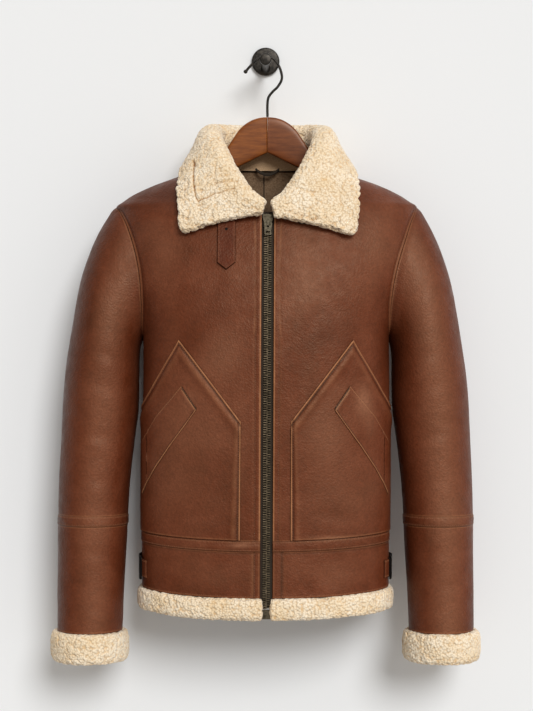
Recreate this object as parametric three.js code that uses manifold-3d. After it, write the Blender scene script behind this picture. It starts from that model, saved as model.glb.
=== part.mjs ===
// A leather jacket with a shearling collar, cuffs and hem, hung on a wooden hanger from a round wall hook.
// Millimetres, +Z up, the front of the jacket towards -Y, and the viewer's right is +X.
// The origin is the centre of the hook plate's back face, which lies on the wall.
import * as THREE from "three";
import Module from "manifold-3d";

const wasm = await Module();
wasm.setup();

// Cloth and seams
const LEATHER = 3;
const SEAM = 0.3;
const HALF_SEAM = SEAM / 2;
const LAP = 1.4;
const LAP_LIFT = 0.8;
const FLEECE = 13;
const LINING = 1.5;
const SQUARENESS = 2.6;
const STRIP_LIFT = 0.6;
const ARMHOLE_SEAM = 0.48;

// How far a pile roll stands proud of its edge, and how far behind it the roll reaches
const HEM_ROLL = { proud: 7, deep: 11 };
const CUFF_ROLL = { proud: 10, deep: 9 };

// Heights that the pieces share
const NECK_Z = -175;
const TIP_Z = -235;
const ZIP_NECK_Z = -248;
const UNDERARM_Z = -430;
const WAIST_Z = -719;
const BAND_Z = -735;
const HEM_Z = -802.5;
const HEM_PILE_Z = -834;
const FOREARM_Z = -696;
const FOREARM_LOW_Z = -712;
const CUFF_Z = -869.5;
const CUFF_PILE_Z = -914;

// How far the middle of the hem hangs below the sides, and where that starts and is whole
const HEM_DIP = 8;
const DIP_FROM_Z = -450;
const DIP_WHOLE_Z = -700;

// Half depth of the armhole
const ARMHOLE_FRONT = 57;
const ARMHOLE_BACK = 50;
const ARMHOLE_ROUNDNESS = 0.9;

// Zip
const ZIP_GAP = 8.8;
const TAPE_HALF = 17;
const HEM_TAPE = 8;
const TAPE_THICK = 1;
const CHAIN_HALF = 4.3;
const CHAIN_THICK = 2.4;
const ZIP_X_TOP = 3.6;
const ZIP_X_LOW = 0.7;

// Hanger and wall hook
const HANGER_X = 2.9;
const HANGER_Y = -75;
const PLATE_RADIUS = 21.8;
const PLATE_THICK = 8;
const PEG_RADIUS = 5;
const PEG_Z = -11.5;
const KNOB_RADIUS = 8.9;
const KNOB_Y = -84;
const KNOB_THICK = 10;
const WIRE_RADIUS = 2;

// Faces of the body
const FRONT = -1;
const BACK = 1;

// Grid steps
const FRONT_STEPS = 10;
const BACK_STEPS = 16;
const CUFF_STEPS = 22;
const COLLAR_STEPS = 10;
const COLUMN_CLEAR = 1;

// Sections of the body, from the neck down: its middle plane, its depth in front of and behind that plane,
// its half width to the viewer's left and right, and how far the neckline is from the middle.
const BODY = [
  { z: -175, mid: -78, front: 43, back: 41, left: 100, right: 101, neck: 94 },
  { z: -189, mid: -78, front: 55, back: 48, left: 133, right: 134, neck: 84 },
  { z: -203, mid: -79, front: 65, back: 55, left: 170, right: 173, neck: 70 },
  { z: -218, mid: -80, front: 75, back: 60, left: 202, right: 204, neck: 54 },
  { z: -228, mid: -81, front: 81, back: 63, left: 216.5, right: 218.5, neck: 42 },
  { z: -235, mid: -82, front: 85, back: 65, left: 225.5, right: 228.5, neck: 31 },
  { z: -241, mid: -83, front: 88, back: 66, left: 219.5, right: 225, neck: 20 },
  { z: -248, mid: -84, front: 91, back: 68, left: 215, right: 222, neck: ZIP_GAP },
  { z: -262, mid: -86, front: 94, back: 70, left: 208, right: 216, neck: ZIP_GAP },
  { z: -283, mid: -89, front: 98, back: 73, left: 200, right: 209, neck: ZIP_GAP },
  { z: -308, mid: -93, front: 101, back: 77, left: 192.5, right: 200.5, neck: ZIP_GAP },
  { z: -335, mid: -96, front: 104, back: 81, left: 187, right: 193, neck: ZIP_GAP },
  { z: -363, mid: -100, front: 105, back: 85, left: 184, right: 187.5, neck: ZIP_GAP },
  { z: -391, mid: -103, front: 106, back: 89, left: 183, right: 184.5, neck: ZIP_GAP },
  { z: -416, mid: -106, front: 106, back: 92, left: 183, right: 184, neck: ZIP_GAP },
  { z: -430, mid: -107, front: 106, back: 93, left: 183, right: 184, neck: ZIP_GAP },
  { z: -480, mid: -109, front: 106, back: 96, left: 183, right: 184.5, neck: ZIP_GAP },
  { z: -560, mid: -110, front: 105, back: 98, left: 184, right: 185, neck: ZIP_GAP },
  { z: -640, mid: -110, front: 102, back: 99, left: 185, right: 185, neck: ZIP_GAP },
  { z: -719, mid: -110, front: 99, back: 99, left: 185, right: 184.5, neck: ZIP_GAP },
  { z: -804, mid: -110, front: 97, back: 99, left: 184.5, right: 184, neck: ZIP_GAP },
  { z: -840, mid: -110, front: 97, back: 99, left: 184.5, right: 184, neck: ZIP_GAP },
];

// Sections of the sleeve cap: its outer and inner points seen from the front, its middle and half depth,
// and how far it has left the armhole's own shape (0 to 1). The first section is the armhole itself.
const SLEEVE_CAP = [
  { outX: 238.5, outZ: -247, inX: 186.5, inZ: -437, mid: -93, half: 62, free: 0.3 },
  { outX: 252.8, outZ: -271, inX: 187.5, inZ: -441, mid: -94, half: 65, free: 0.62 },
  { outX: 267, outZ: -306, inX: 188.5, inZ: -447, mid: -95, half: 67, free: 0.88 },
  { outX: 279, outZ: -350, inX: 189.5, inZ: -456, mid: -96, half: 68, free: 1 },
  { outX: 288.5, outZ: -400, inX: 190, inZ: -471, mid: -97, half: 68, free: 1 },
  { outX: 295.5, outZ: -446, inX: 190, inZ: -491, mid: -98, half: 67, free: 1 },
  { outX: 301.5, outZ: -490, inX: 190, inZ: -514, mid: -99, half: 66, free: 1 },
  { outX: 305.0, outZ: -532, inX: 191, inZ: -541, mid: -100, half: 64, free: 1 },
];

// Level sections of the sleeve below the cap: outer and inner edge, middle and half depth.
const SLEEVE = [
  { z: -562, outer: 306.2, inner: 193.5, mid: -101, half: 62 },
  { z: -596, outer: 307.5, inner: 198, mid: -103, half: 60.5 },
  { z: -632, outer: 309.1, inner: 202, mid: -105, half: 58.5 },
  { z: -668, outer: 310.2, inner: 205, mid: -107, half: 56.5 },
  { z: -696, outer: 310.8, inner: 206.5, mid: -108, half: 55.5 },
  { z: -712, outer: 311, inner: 207, mid: -109, half: 54.5 },
  { z: -760, outer: 311.2, inner: 209.5, mid: -110, half: 52.5 },
  { z: -815, outer: 311.4, inner: 212.3, mid: -111, half: 50.5 },
  { z: -869.5, outer: 311.5, inner: 214.7, mid: -112, half: 49 },
];

// The collar on one side, from the middle of the back round to the zip: where it is sewn on (base),
// the top of its fold, and its free edge, all at the middle of its thickness, and how open its fold is.
const COLLAR = [
  { base: [0, -37, -174.3], fold: [0, -29, -110], edge: [0, -15.5, -200], roll: 11 },
  { base: [40, -38, -174.3], fold: [40, -31, -110], edge: [53, -16, -200], roll: 11 },
  { base: [76, -46, -171], fold: [67, -44, -111], edge: [97, -21, -195], roll: 11.5 },
  { base: [91, -64, -167], fold: [76, -62, -113.5], edge: [118, -46, -181], roll: 11.5 },
  { base: [94, -82, -166], fold: [79, -84, -118], edge: [120, -84, -173], roll: 11 },
  { base: [91, -105, -170], fold: [77, -107, -128], edge: [125, -116, -184], roll: 11 },
  { base: [81, -126, -186], fold: [71, -131, -146], edge: [128.5, -146, -206], roll: 10.5 },
  { base: [68, -143, -201], fold: [60, -150, -168], edge: [129, -168, -240], roll: 10 },
  { base: [55, -154, -213], fold: [48.5, -162, -190], edge: [122, -178, -275], roll: 9.5 },
  { base: [40, -165, -223], fold: [35, -172, -211], edge: [86, -184, -267], roll: 8.5 },
  { base: [25, -174.5, -231], fold: [21, -181, -228], edge: [47, -189, -256], roll: 7 },
  { base: [13, -181, -238], fold: [10.5, -187, -239], edge: [20, -192, -250], roll: 5 },
];
const COLLAR_X = 3.9;
const COLLAR_RIGHT_DROP = 4;
const COLLAR_LIFT = 6.2;
const COLLAR_FRONT_Y = -140;
const FOLD_DROP = 0.75;
const FREE_BEND = 0.55;
const EDGE_THIN = 0.55;
const TIP_REACH = 0.35;

// Outlines of what is sewn on a front: its top and bottom edge at each distance from the middle.
const SIDE_PANEL = [
  { x: 36, top: -551, bottom: WAIST_Z + SEAM },
  { x: 127, top: -436, bottom: WAIST_Z + SEAM },
  { x: 200, top: -560, bottom: WAIST_Z + SEAM },
];
const WELT = [
  { x: 99, top: -533, bottom: -536 },
  { x: 121, top: -502, bottom: -567 },
  { x: 138, top: -523, bottom: -591 },
  { x: 157, top: -546, bottom: -621 },
  { x: 171, top: -571, bottom: -647 },
  { x: 178, top: -584, bottom: -664 },
];
const THROAT_STRAP = [
  { x: 43.7, top: -240, bottom: -325 },
  { x: 56.7, top: -240, bottom: -335 },
  { x: 69.6, top: -240, bottom: -325 },
];
const THROAT_LIFT = 1.6;
const THROAT_THICK = 2.4;
const BUCKLE_TAB = [
  { x: 50, top: -238, bottom: -252 },
  { x: 71, top: -238, bottom: -252 },
];
const THROAT_BUCKLE = { inner: 48.7, outer: 72, top: -252.6, bottom: -268, bar: 3, thick: 2.4, lift: 0.5 };

// Side adjusters on the hem band: a strap round the side seam, and a buckle on it
const ADJUSTER = { top: -760, bottom: -786, front: 174, back: 120, thick: 2.4, lift: 0.4 };
const ADJUSTER_BUCKLE = { top: -756, bottom: -790, front: 180, back: 176, thick: 2.2, lift: 3.1 };

// Hanger arm, from the mitre outwards: distance from the mitre, top and bottom edge, half thickness
const ARM = [
  { x: 0, top: -97, bottom: -151.2, half: 6.5 },
  { x: 10, top: -97.8, bottom: -156, half: 6.5 },
  { x: 20, top: -100.3, bottom: -160.9, half: 6.5 },
  { x: 32, top: -106.6, bottom: -166.8, half: 6.5 },
  { x: 43, top: -116.4, bottom: -172.2, half: 6.5 },
  { x: 53, top: -131, bottom: -177, half: 6.6 },
  { x: 64, top: -147.5, bottom: -182.4, half: 6.9 },
  { x: 78, top: -164.5, bottom: -189.5, half: 7.5 },
  { x: 97, top: -180.6, bottom: -200, half: 9 },
  { x: 130, top: -194.1, bottom: -217, half: 12 },
  { x: 164, top: -207.5, bottom: -235, half: 15.5 },
  { x: 196, top: -222.5, bottom: -250, half: 17.5 },
  { x: 206, top: -231, bottom: -250, half: 15 },
];

// Middle line of the hanger's wire, from its ball tip over the peg to the wood
const WIRE = [
  { x: -30.4, z: -27.5 },
  { x: -24, z: -20 },
  { x: -17.5, z: -13.5 },
  { x: -9.5, z: -7.2 },
  { x: 0.6, z: -4.1 },
  { x: 11, z: -7.6 },
  { x: 18.6, z: -16.2 },
  { x: 23.6, z: -28 },
  { x: 24.6, z: -39 },
  { x: 18.6, z: -50.4 },
  { x: 10.4, z: -58.6 },
  { x: 4.6, z: -66.5 },
  { x: 2.9, z: -76 },
  { x: 2.9, z: -96.3 },
];

// Colours and finishes
const material = (color, roughness, metalness = 0) =>
  new THREE.MeshStandardMaterial({ color, roughness, metalness });
const MATERIALS = {
  leather: material(0x6b3a28, 0.5),
  strap: material(0x64301f, 0.5),
  fleece: material(0xe8d5b4, 1),
  lining: material(0x5f4d36, 0.95),
  tape: material(0x2a2115, 0.9),
  brass: material(0x64583f, 0.4, 0.8),
  pewter: material(0x8a857a, 0.4, 0.8),
  woodLight: material(0x8a4f33, 0.4),
  woodDark: material(0x7a4029, 0.4),
  iron: material(0x35322e, 0.55, 0.6),
};

// Small vector helpers on [x, y, z]
const add = (a, b, k = 1) => [a[0] + k * b[0], a[1] + k * b[1], a[2] + k * b[2]];
const sub = (a, b) => add(a, b, -1);
const dot = (a, b) => a[0] * b[0] + a[1] * b[1] + a[2] * b[2];
const cross = (a, b) => [a[1] * b[2] - a[2] * b[1], a[2] * b[0] - a[0] * b[2], a[0] * b[1] - a[1] * b[0]];
const unit = (a) => add([0, 0, 0], a, 1 / Math.max(Math.hypot(...a), 1e-9));
const mix = (a, b, t) => a + (b - a) * t;
const mixPoints = (a, b, t) => add(a, sub(b, a), t);
const clamp = (t) => Math.min(1, Math.max(0, t));
const steps = (n) => Array.from({ length: n + 1 }, (_, i) => i / n);

// A table's row at a given value of one of its columns, straight between its rows
function rowAt(table, column, at) {
  const falling = table[0][column] > table[table.length - 1][column];
  const beyond = (row) => (falling ? row[column] <= at : row[column] >= at);
  let next = table.findIndex(beyond);
  if (next < 0) next = table.length - 1;
  const b = table[Math.max(next, 1)];
  const a = table[Math.max(next, 1) - 1];
  const t = clamp((at - a[column]) / (b[column] - a[column]));
  return Object.fromEntries(Object.keys(a).map((key) => [key, mix(a[key], b[key], t)]));
}

const root = new THREE.Group();

function addMesh(name, geometry, finish) {
  const mesh = new THREE.Mesh(geometry, MATERIALS[finish]);
  mesh.name = name;
  root.add(mesh);
  return mesh;
}

// A geometry from points and triangles, turned so that its faces point out
function closedGeometry(points, triangles) {
  let volume = 0;
  for (const [a, b, c] of triangles) volume += dot(points[a], cross(points[b], points[c]));
  const facing = volume > 0 ? triangles : triangles.map(([a, b, c]) => [a, c, b]);
  const geometry = new THREE.BufferGeometry();
  geometry.setAttribute("position", new THREE.Float32BufferAttribute(points.flat(), 3));
  geometry.setIndex(facing.flat());
  geometry.computeVertexNormals();
  return geometry;
}

const quad = (a, b, c, d) => [
  [a, b, c],
  [a, c, d],
];

// A wall between two grids of points of the same size, open at its ends, and closed round if round is set
function wall(outer, inner, round = false) {
  const rows = outer.length;
  const cols = outer[0].length;
  const points = [...outer.flat(), ...inner.flat()];
  const out = (i, j) => i * cols + (j % cols);
  const inn = (i, j) => rows * cols + out(i, j);
  const triangles = [];
  const lastCol = round ? cols : cols - 1;
  for (let i = 0; i < rows - 1; i++)
    for (let j = 0; j < lastCol; j++) {
      triangles.push(...quad(out(i, j), out(i + 1, j), out(i + 1, j + 1), out(i, j + 1)));
      triangles.push(...quad(inn(i, j), inn(i, j + 1), inn(i + 1, j + 1), inn(i + 1, j)));
    }
  for (let j = 0; j < lastCol; j++) {
    triangles.push(...quad(out(0, j), out(0, j + 1), inn(0, j + 1), inn(0, j)));
    triangles.push(...quad(out(rows - 1, j), inn(rows - 1, j), inn(rows - 1, j + 1), out(rows - 1, j + 1)));
  }
  if (!round)
    for (let i = 0; i < rows - 1; i++) {
      triangles.push(...quad(out(i, 0), inn(i, 0), inn(i + 1, 0), out(i + 1, 0)));
      triangles.push(...quad(out(i, cols - 1), out(i + 1, cols - 1), inn(i + 1, cols - 1), inn(i, cols - 1)));
    }
  return closedGeometry(points, triangles);
}

// A solid through closed sections, capped at both ends unless the sections go all the way round
function loft(sections, round = false) {
  const count = sections[0].length;
  const rows = sections.length;
  const points = sections.flat();
  const at = (i, j) => (i % rows) * count + (j % count);
  const triangles = [];
  for (let i = 0; i < (round ? rows : rows - 1); i++)
    for (let j = 0; j < count; j++)
      triangles.push(...quad(at(i, j), at(i + 1, j), at(i + 1, j + 1), at(i, j + 1)));
  if (!round)
    for (let j = 1; j < count - 1; j++) {
      triangles.push([at(0, 0), at(0, j), at(0, j + 1)]);
      triangles.push([at(rows - 1, 0), at(rows - 1, j + 1), at(rows - 1, j)]);
    }
  return closedGeometry(points, triangles);
}

// A rounded section of count points, half by tall, in the plane of two directions round a middle
function roundedSection(middle, across, up, half, tall, count = 10, squareness = 2.6) {
  const power = 2 / squareness;
  return steps(count)
    .slice(0, count)
    .map((t) => {
      const c = Math.cos(2 * Math.PI * t);
      const s = Math.sin(2 * Math.PI * t);
      const p = add(middle, across, half * Math.sign(c) * Math.abs(c) ** power);
      return add(p, up, tall * Math.sign(s) * Math.abs(s) ** power);
    });
}

// The zip's middle at a height, which leans a little
const zipX = (z) => mix(ZIP_X_LOW, ZIP_X_TOP, clamp((z - HEM_PILE_Z) / (ZIP_NECK_Z - HEM_PILE_Z)));

// How far round the armhole a height is: 0 at its top, 1 at the underarm
const armholeShare = (z) => (TIP_Z - z) / (TIP_Z - UNDERARM_Z);

function armholeHalf(face, z) {
  const share = armholeShare(z);
  if (share <= 0 || share >= 1) return 0;
  const reach = face < 0 ? ARMHOLE_FRONT : ARMHOLE_BACK;
  return reach * Math.sqrt(1 - (1 - 2 * share) ** 2) ** ARMHOLE_ROUNDNESS;
}

// The body's section on one face (-1 front, 1 back) and side (-1 left, 1 right) at a height
function bodySection(face, side, z) {
  const row = rowAt(BODY, "z", z);
  const depth = face < 0 ? row.front : row.back;
  const edge = side < 0 ? row.left : row.right;
  const open = (armholeHalf(face, z) / depth) ** SQUARENESS;
  const full = edge * (1 - open) ** (-1 / SQUARENESS);
  const neck = face < 0 ? row.neck + side * zipX(z) : 0;
  const end = Math.asin(Math.min(1, edge / full));
  return { mid: row.mid, depth, full, start: Math.asin(neck / full), end };
}

// A point of the body's outer surface, u = 0 at the middle edge and 1 at the side seam or armhole
function bodyPoint(face, side, u, z) {
  const s = bodySection(face, side, z);
  const turn = mix(s.start, s.end, u);
  const across = Math.sin(turn);
  const bulge = Math.max(0, 1 - across ** SQUARENESS) ** (1 / SQUARENESS);
  const dip = HEM_DIP * clamp((z - DIP_FROM_Z) / (DIP_WHOLE_Z - DIP_FROM_Z)) * Math.cos(turn) ** 2;
  return [side * s.full * across, s.mid + face * (s.depth * bulge + HALF_SEAM), z - dip];
}

const NUDGE = 0.01;
const NUDGE_Z = 1;

function bodyNormal(face, side, u, z) {
  const [u0, u1] = [Math.max(0, u - NUDGE), Math.min(1, u + NUDGE)];
  const [z0, z1] = [Math.max(HEM_PILE_Z, z - NUDGE_Z), Math.min(NECK_Z, z + NUDGE_Z)];
  const along = sub(bodyPoint(face, side, u1, z), bodyPoint(face, side, u0, z));
  const up = sub(bodyPoint(face, side, u, z1), bodyPoint(face, side, u, z0));
  const n = unit(cross(along, up));
  const outward = [bodyPoint(face, side, u, z)[0] * 0.3, face * 100, 0];
  return dot(n, outward) < 0 ? n.map((c) => -c) : n;
}

const lifted = (face, side, u, z, lift) =>
  add(bodyPoint(face, side, u, z), bodyNormal(face, side, u, z), lift);

// Where on a front a distance from the middle is
function shareAt(face, side, x, z) {
  const s = bodySection(face, side, z);
  return clamp((Math.asin(Math.min(1, x / s.full)) - s.start) / (s.end - s.start));
}

// A body piece between two heights, on one front or all round the back
function bodyWall(face, sides, zs, lift = 0, thick = LEATHER) {
  const columns =
    sides.length === 1
      ? steps(FRONT_STEPS).map((u) => [sides[0], u])
      : steps(BACK_STEPS).map((t) => (t < 0.5 ? [-1, 1 - 2 * t] : [1, 2 * t - 1]));
  const grid = (offset) => zs.map((z) => columns.map(([side, u]) => lifted(face, side, u, z, offset)));
  return wall(grid(lift), grid(lift - thick));
}

// A piece sewn on one front, from its outline. It has a column at each of the front's own columns and follows
// them, or, if straight is set, keeps its own distances from the middle.
function sewnOn(side, outline, lift, thick, rows, straight = false) {
  const middle = (outline[0].top + outline[0].bottom) / 2;
  const distance = (u) => Math.abs(bodyPoint(FRONT, side, u, middle)[0]);
  const [first, last] = [outline[0].x, outline[outline.length - 1].x];
  const clear = (x) => outline.every((row) => Math.abs(row.x - x) > COLUMN_CLEAR);
  const own = steps(FRONT_STEPS).map(distance);
  const xs = [...outline.map((row) => row.x), ...own.filter((x) => x > first && x < last && clear(x))];
  const columns = xs
    .sort((a, b) => a - b)
    .map((x) => ({ x, u: shareAt(FRONT, side, x, middle), ...rowAt(outline, "x", x) }));
  const grid = (offset) =>
    steps(rows).map((t) =>
      columns.map(({ x, u, top, bottom }) => {
        const z = mix(top, bottom, t);
        return lifted(FRONT, side, straight ? shareAt(FRONT, side, x, z) : u, z, offset);
      }),
    );
  return wall(grid(lift + thick), grid(lift));
}

const SIDES = [
  { side: -1, label: "left" },
  { side: 1, label: "right" },
];
const bodyRows = BODY.map((row) => row.z).filter((z) => z >= WAIST_Z);
const panelRows = [...bodyRows.slice(0, -1), WAIST_Z + SEAM];
const beltRows = [WAIST_Z, BAND_Z];
const bandRows = [BAND_Z - SEAM, mix(BAND_Z, HEM_Z, 0.5), HEM_Z];

// Body: fronts, back, waist strip, hem band, side panels and pocket welts
for (const { side, label } of SIDES) {
  addMesh(`front_${label}`, bodyWall(FRONT, [side], panelRows), "leather");
  addMesh(`waist_strip_${label}`, bodyWall(FRONT, [side], beltRows, STRIP_LIFT), "leather");
  addMesh(`hem_band_${label}`, bodyWall(FRONT, [side], bandRows), "leather");
  addMesh(`side_panel_${label}`, sewnOn(side, SIDE_PANEL, LAP_LIFT, LAP, 5), "leather");
  addMesh(`pocket_welt_${label}`, sewnOn(side, WELT, LAP_LIFT + LAP + SEAM, LAP, 3), "leather");
}
addMesh("back", bodyWall(BACK, [-1, 1], panelRows), "leather");
addMesh("waist_strip_back", bodyWall(BACK, [-1, 1], beltRows, STRIP_LIFT), "leather");
addMesh("hem_band_back", bodyWall(BACK, [-1, 1], bandRows), "leather");

// The pile roll that follows an edge: a rounded section at each point of a path
function pileRoll(path, top, bottom, { proud, deep }) {
  const half = (proud + deep) / 2;
  return path.map(({ point, out }) => {
    const middle = add(point, out, proud - half);
    middle[2] = (top + bottom) / 2 + (point[2] - top);
    return roundedSection(middle, out, [0, 0, 1], half, (top - bottom) / 2, 8, 3);
  });
}

// Hem pile, from the zip round the back and forward to the zip again
function hemPath() {
  const path = [];
  const push = (face, side, u) => {
    const out = bodyNormal(face, side, u, HEM_Z);
    out[2] = 0;
    path.push({ point: bodyPoint(face, side, u, HEM_Z - SEAM), out: unit(out) });
  };
  const turns = steps(FRONT_STEPS);
  for (const u of turns) push(FRONT, -1, u);
  for (const u of turns.slice(1, -1).reverse()) push(BACK, -1, u);
  for (const u of turns.slice(0, -1)) push(BACK, 1, u);
  for (const u of turns.reverse()) push(FRONT, 1, u);
  return path;
}
addMesh("hem_pile", loft(pileRoll(hemPath(), HEM_Z - SEAM, HEM_PILE_Z, HEM_ROLL)), "fleece");

// Angles round the armhole, 0 at its top and half a turn at the underarm, one at each of the body's sections
const halfTurn = BODY.map((row) => armholeShare(row.z))
  .filter((share) => share >= 0 && share <= 1)
  .map((share) => Math.acos(1 - 2 * share));
const otherHalf = halfTurn.slice(1, -1).map((angle) => 2 * Math.PI - angle);
const ARM_ANGLES = [...halfTurn, ...otherHalf.reverse()];
const SMALL_TURN = 0.06;

function armholePoint(side, angle) {
  const z = mix(TIP_Z, UNDERARM_Z, (1 - Math.cos(angle)) / 2);
  const atEnd = Math.abs(Math.sin(angle)) < 1e-6;
  const face = Math.sin(angle) > 0 ? FRONT : BACK;
  const p = bodyPoint(face, side, 1, z);
  if (atEnd) p[1] = rowAt(BODY, "z", z).mid;
  const both = add(bodyNormal(FRONT, side, 1, z), bodyNormal(BACK, side, 1, z));
  return { p, n: atEnd ? unit(both) : bodyNormal(face, side, 1, z) };
}

// The armhole section of the sleeve, a seam's width beyond the body's edge, and its inner side
function armholeRing(side) {
  const outer = [];
  const inner = [];
  const middleZ = mix(TIP_Z, UNDERARM_Z, 0.5);
  const middle = [side * rowAt(BODY, "z", middleZ).left, rowAt(BODY, "z", middleZ).mid, middleZ];
  for (const angle of ARM_ANGLES) {
    const { p, n } = armholePoint(side, angle);
    const before = armholePoint(side, angle - SMALL_TURN).p;
    const after = armholePoint(side, angle + SMALL_TURN).p;
    const away = unit(cross(sub(after, before), n));
    const sign = dot(away, sub(middle, p)) < 0 ? -1 : 1;
    const q = add(p, away, sign * ARMHOLE_SEAM);
    outer.push(q);
    inner.push(add(q, n, -LEATHER));
  }
  return { outer, inner };
}

function sleeveRing(side, out, inn, mid, half) {
  const middle = mixPoints(inn, out, 0.5);
  return ARM_ANGLES.map((angle) => {
    const p = add(middle, sub(out, middle), Math.cos(angle));
    return [side * p[0], mid - half * Math.sin(angle), p[2]];
  });
}

function levelRing(side, z) {
  const r = rowAt(SLEEVE, "z", z);
  return sleeveRing(side, [r.outer, 0, z], [r.inner, 0, z], r.mid, r.half);
}

// A grid moved along its own normals, round in its second direction
function offsetRound(grid, distance) {
  const rows = grid.length;
  const cols = grid[0].length;
  return grid.map((row, i) =>
    row.map((p, j) => {
      const along = sub(row[(j + 1) % cols], row[(j + cols - 1) % cols]);
      const down = sub(grid[Math.min(rows - 1, i + 1)][j], grid[Math.max(0, i - 1)][j]);
      const middle = row.reduce((sum, q) => add(sum, q, 1 / cols), [0, 0, 0]);
      const n = unit(cross(along, down));
      return add(p, n, dot(n, sub(p, middle)) < 0 ? -distance : distance);
    }),
  );
}

// Sleeves: upper sleeve, forearm strip, lower sleeve and cuff pile
for (const { side, label } of SIDES) {
  const armhole = armholeRing(side);
  const cap = SLEEVE_CAP.map((r) =>
    sleeveRing(side, [r.outX, 0, r.outZ], [r.inX, 0, r.inZ], r.mid, r.half).map((p, j) =>
      mixPoints(armhole.outer[j], p, r.free),
    ),
  );
  const level = SLEEVE.filter((r) => r.z > FOREARM_Z).map((r) => levelRing(side, r.z));
  const upper = [armhole.outer, ...cap, ...level, levelRing(side, FOREARM_Z + SEAM)];
  const upperInner = [armhole.inner, ...offsetRound(upper, -LEATHER).slice(1)];
  addMesh(`sleeve_upper_${label}`, wall(upper, upperInner, true), "leather");

  const strip = [levelRing(side, FOREARM_Z), levelRing(side, FOREARM_LOW_Z)];
  const stripWall = wall(offsetRound(strip, STRIP_LIFT), offsetRound(strip, STRIP_LIFT - LEATHER), true);
  addMesh(`sleeve_strip_${label}`, stripWall, "leather");

  const lowRows = SLEEVE.filter((r) => r.z < FOREARM_LOW_Z).map((r) => levelRing(side, r.z));
  const lower = [levelRing(side, FOREARM_LOW_Z - SEAM), ...lowRows];
  addMesh(`sleeve_lower_${label}`, wall(lower, offsetRound(lower, -LEATHER), true), "leather");

  const r = rowAt(SLEEVE, "z", CUFF_Z);
  const middle = [(side * (r.outer + r.inner)) / 2, r.mid, 0];
  const ringRadius = [(r.outer - r.inner) / 2, r.half];
  const path = steps(CUFF_STEPS)
    .slice(0, CUFF_STEPS)
    .map((t) => {
      const [c, s] = [Math.cos(2 * Math.PI * t), Math.sin(2 * Math.PI * t)];
      return {
        point: [middle[0] + ringRadius[0] * c, middle[1] + ringRadius[1] * s, CUFF_Z - SEAM],
        out: unit([c / ringRadius[0], s / ringRadius[1], 0]),
      };
    });
  addMesh(`cuff_pile_${label}`, loft(pileRoll(path, CUFF_Z - SEAM, CUFF_PILE_Z, CUFF_ROLL), true), "fleece");
}

// Collar: a folded wall, sewn on round the neck, whose section runs from its base over the fold to its edge
function collarSection(side, row) {
  const drop = side > 0 ? COLLAR_RIGHT_DROP * clamp((row.fold[1] + 100) / -80) : 0;
  const onSide = ([x, y, z]) => [side * x + COLLAR_X * clamp((-y - 40) / 100), y, z];
  const base = onSide(row.base);
  const fold = onSide(row.fold);
  const edge = add(onSide(row.edge), [0, 0, -drop]);
  if (row.edge[1] < COLLAR_FRONT_Y) {
    const share = shareAt(FRONT, side, row.edge[0], edge[2]);
    edge[1] = Math.min(edge[1], lifted(FRONT, side, share, edge[2], COLLAR_LIFT + FLEECE / 2)[1]);
  }
  const up = unit(sub(fold, mixPoints(base, edge, 0.5)));
  const span = sub(edge, base);
  const over = unit(add(span, up, -dot(span, up)));
  const shoulder = (sign) => add(add(fold, up, -row.roll * FOLD_DROP), over, sign * row.roll);
  const bend = mixPoints(shoulder(1), edge, FREE_BEND);
  const path = [base, shoulder(-1), fold, shoulder(1), bend, edge].map((p) => new THREE.Vector3(...p));
  return new THREE.CatmullRomCurve3(path).getPoints(COLLAR_STEPS).map((p) => p.toArray());
}

const COLLAR_GRID = [
  ...COLLAR.slice(1).reverse().map((row) => collarSection(-1, row)),
  ...COLLAR.map((row) => collarSection(1, row)),
];

// Out of the collar's pile side at a point of its middle grid
function collarNormal(i, j) {
  const row = COLLAR_GRID[i];
  const along = sub(row[Math.min(row.length - 1, j + 1)], row[Math.max(0, j - 1)]);
  const [before, after] = [Math.max(0, i - 1), Math.min(COLLAR_GRID.length - 1, i + 1)];
  const around = sub(COLLAR_GRID[after][j], COLLAR_GRID[before][j]);
  return unit(cross(around, along));
}

// The wall of the collar: its middle grid moved half its thickness to each side, with a rounded free edge
function collarWall() {
  const last = COLLAR_STEPS;
  return COLLAR_GRID.map((row, i) => {
    const moved = (sign) =>
      row.map((p, j) => add(p, collarNormal(i, j), sign * (FLEECE / 2) * (j === last ? EDGE_THIN : 1)));
    const tip = add(row[last], unit(sub(row[last], row[last - 1])), FLEECE * TIP_REACH);
    return [...moved(-1), tip, ...moved(1).reverse()];
  });
}
addMesh("collar", loft(collarWall()), "fleece");

// Zip: a tape under each front edge, the chain of teeth, the slider, the bottom box and the pull tab
const zipFrontY = (z) => {
  const row = rowAt(BODY, "z", z);
  return row.mid - row.front;
};
const zipDip = (z) => z - HEM_DIP * clamp((z - DIP_FROM_Z) / (DIP_WHOLE_Z - DIP_FROM_Z));
const ZIP_TOP_Z = -253;
const ZIP_LOW_Z = -818;
const TAPE_TOP_Z = -249;
const TAPE_LOW_Z = -816;
const TAPE_BACK = LEATHER + 2 * SEAM;
const CHAIN_FRONT = TAPE_BACK - SEAM - CHAIN_THICK;

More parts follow.
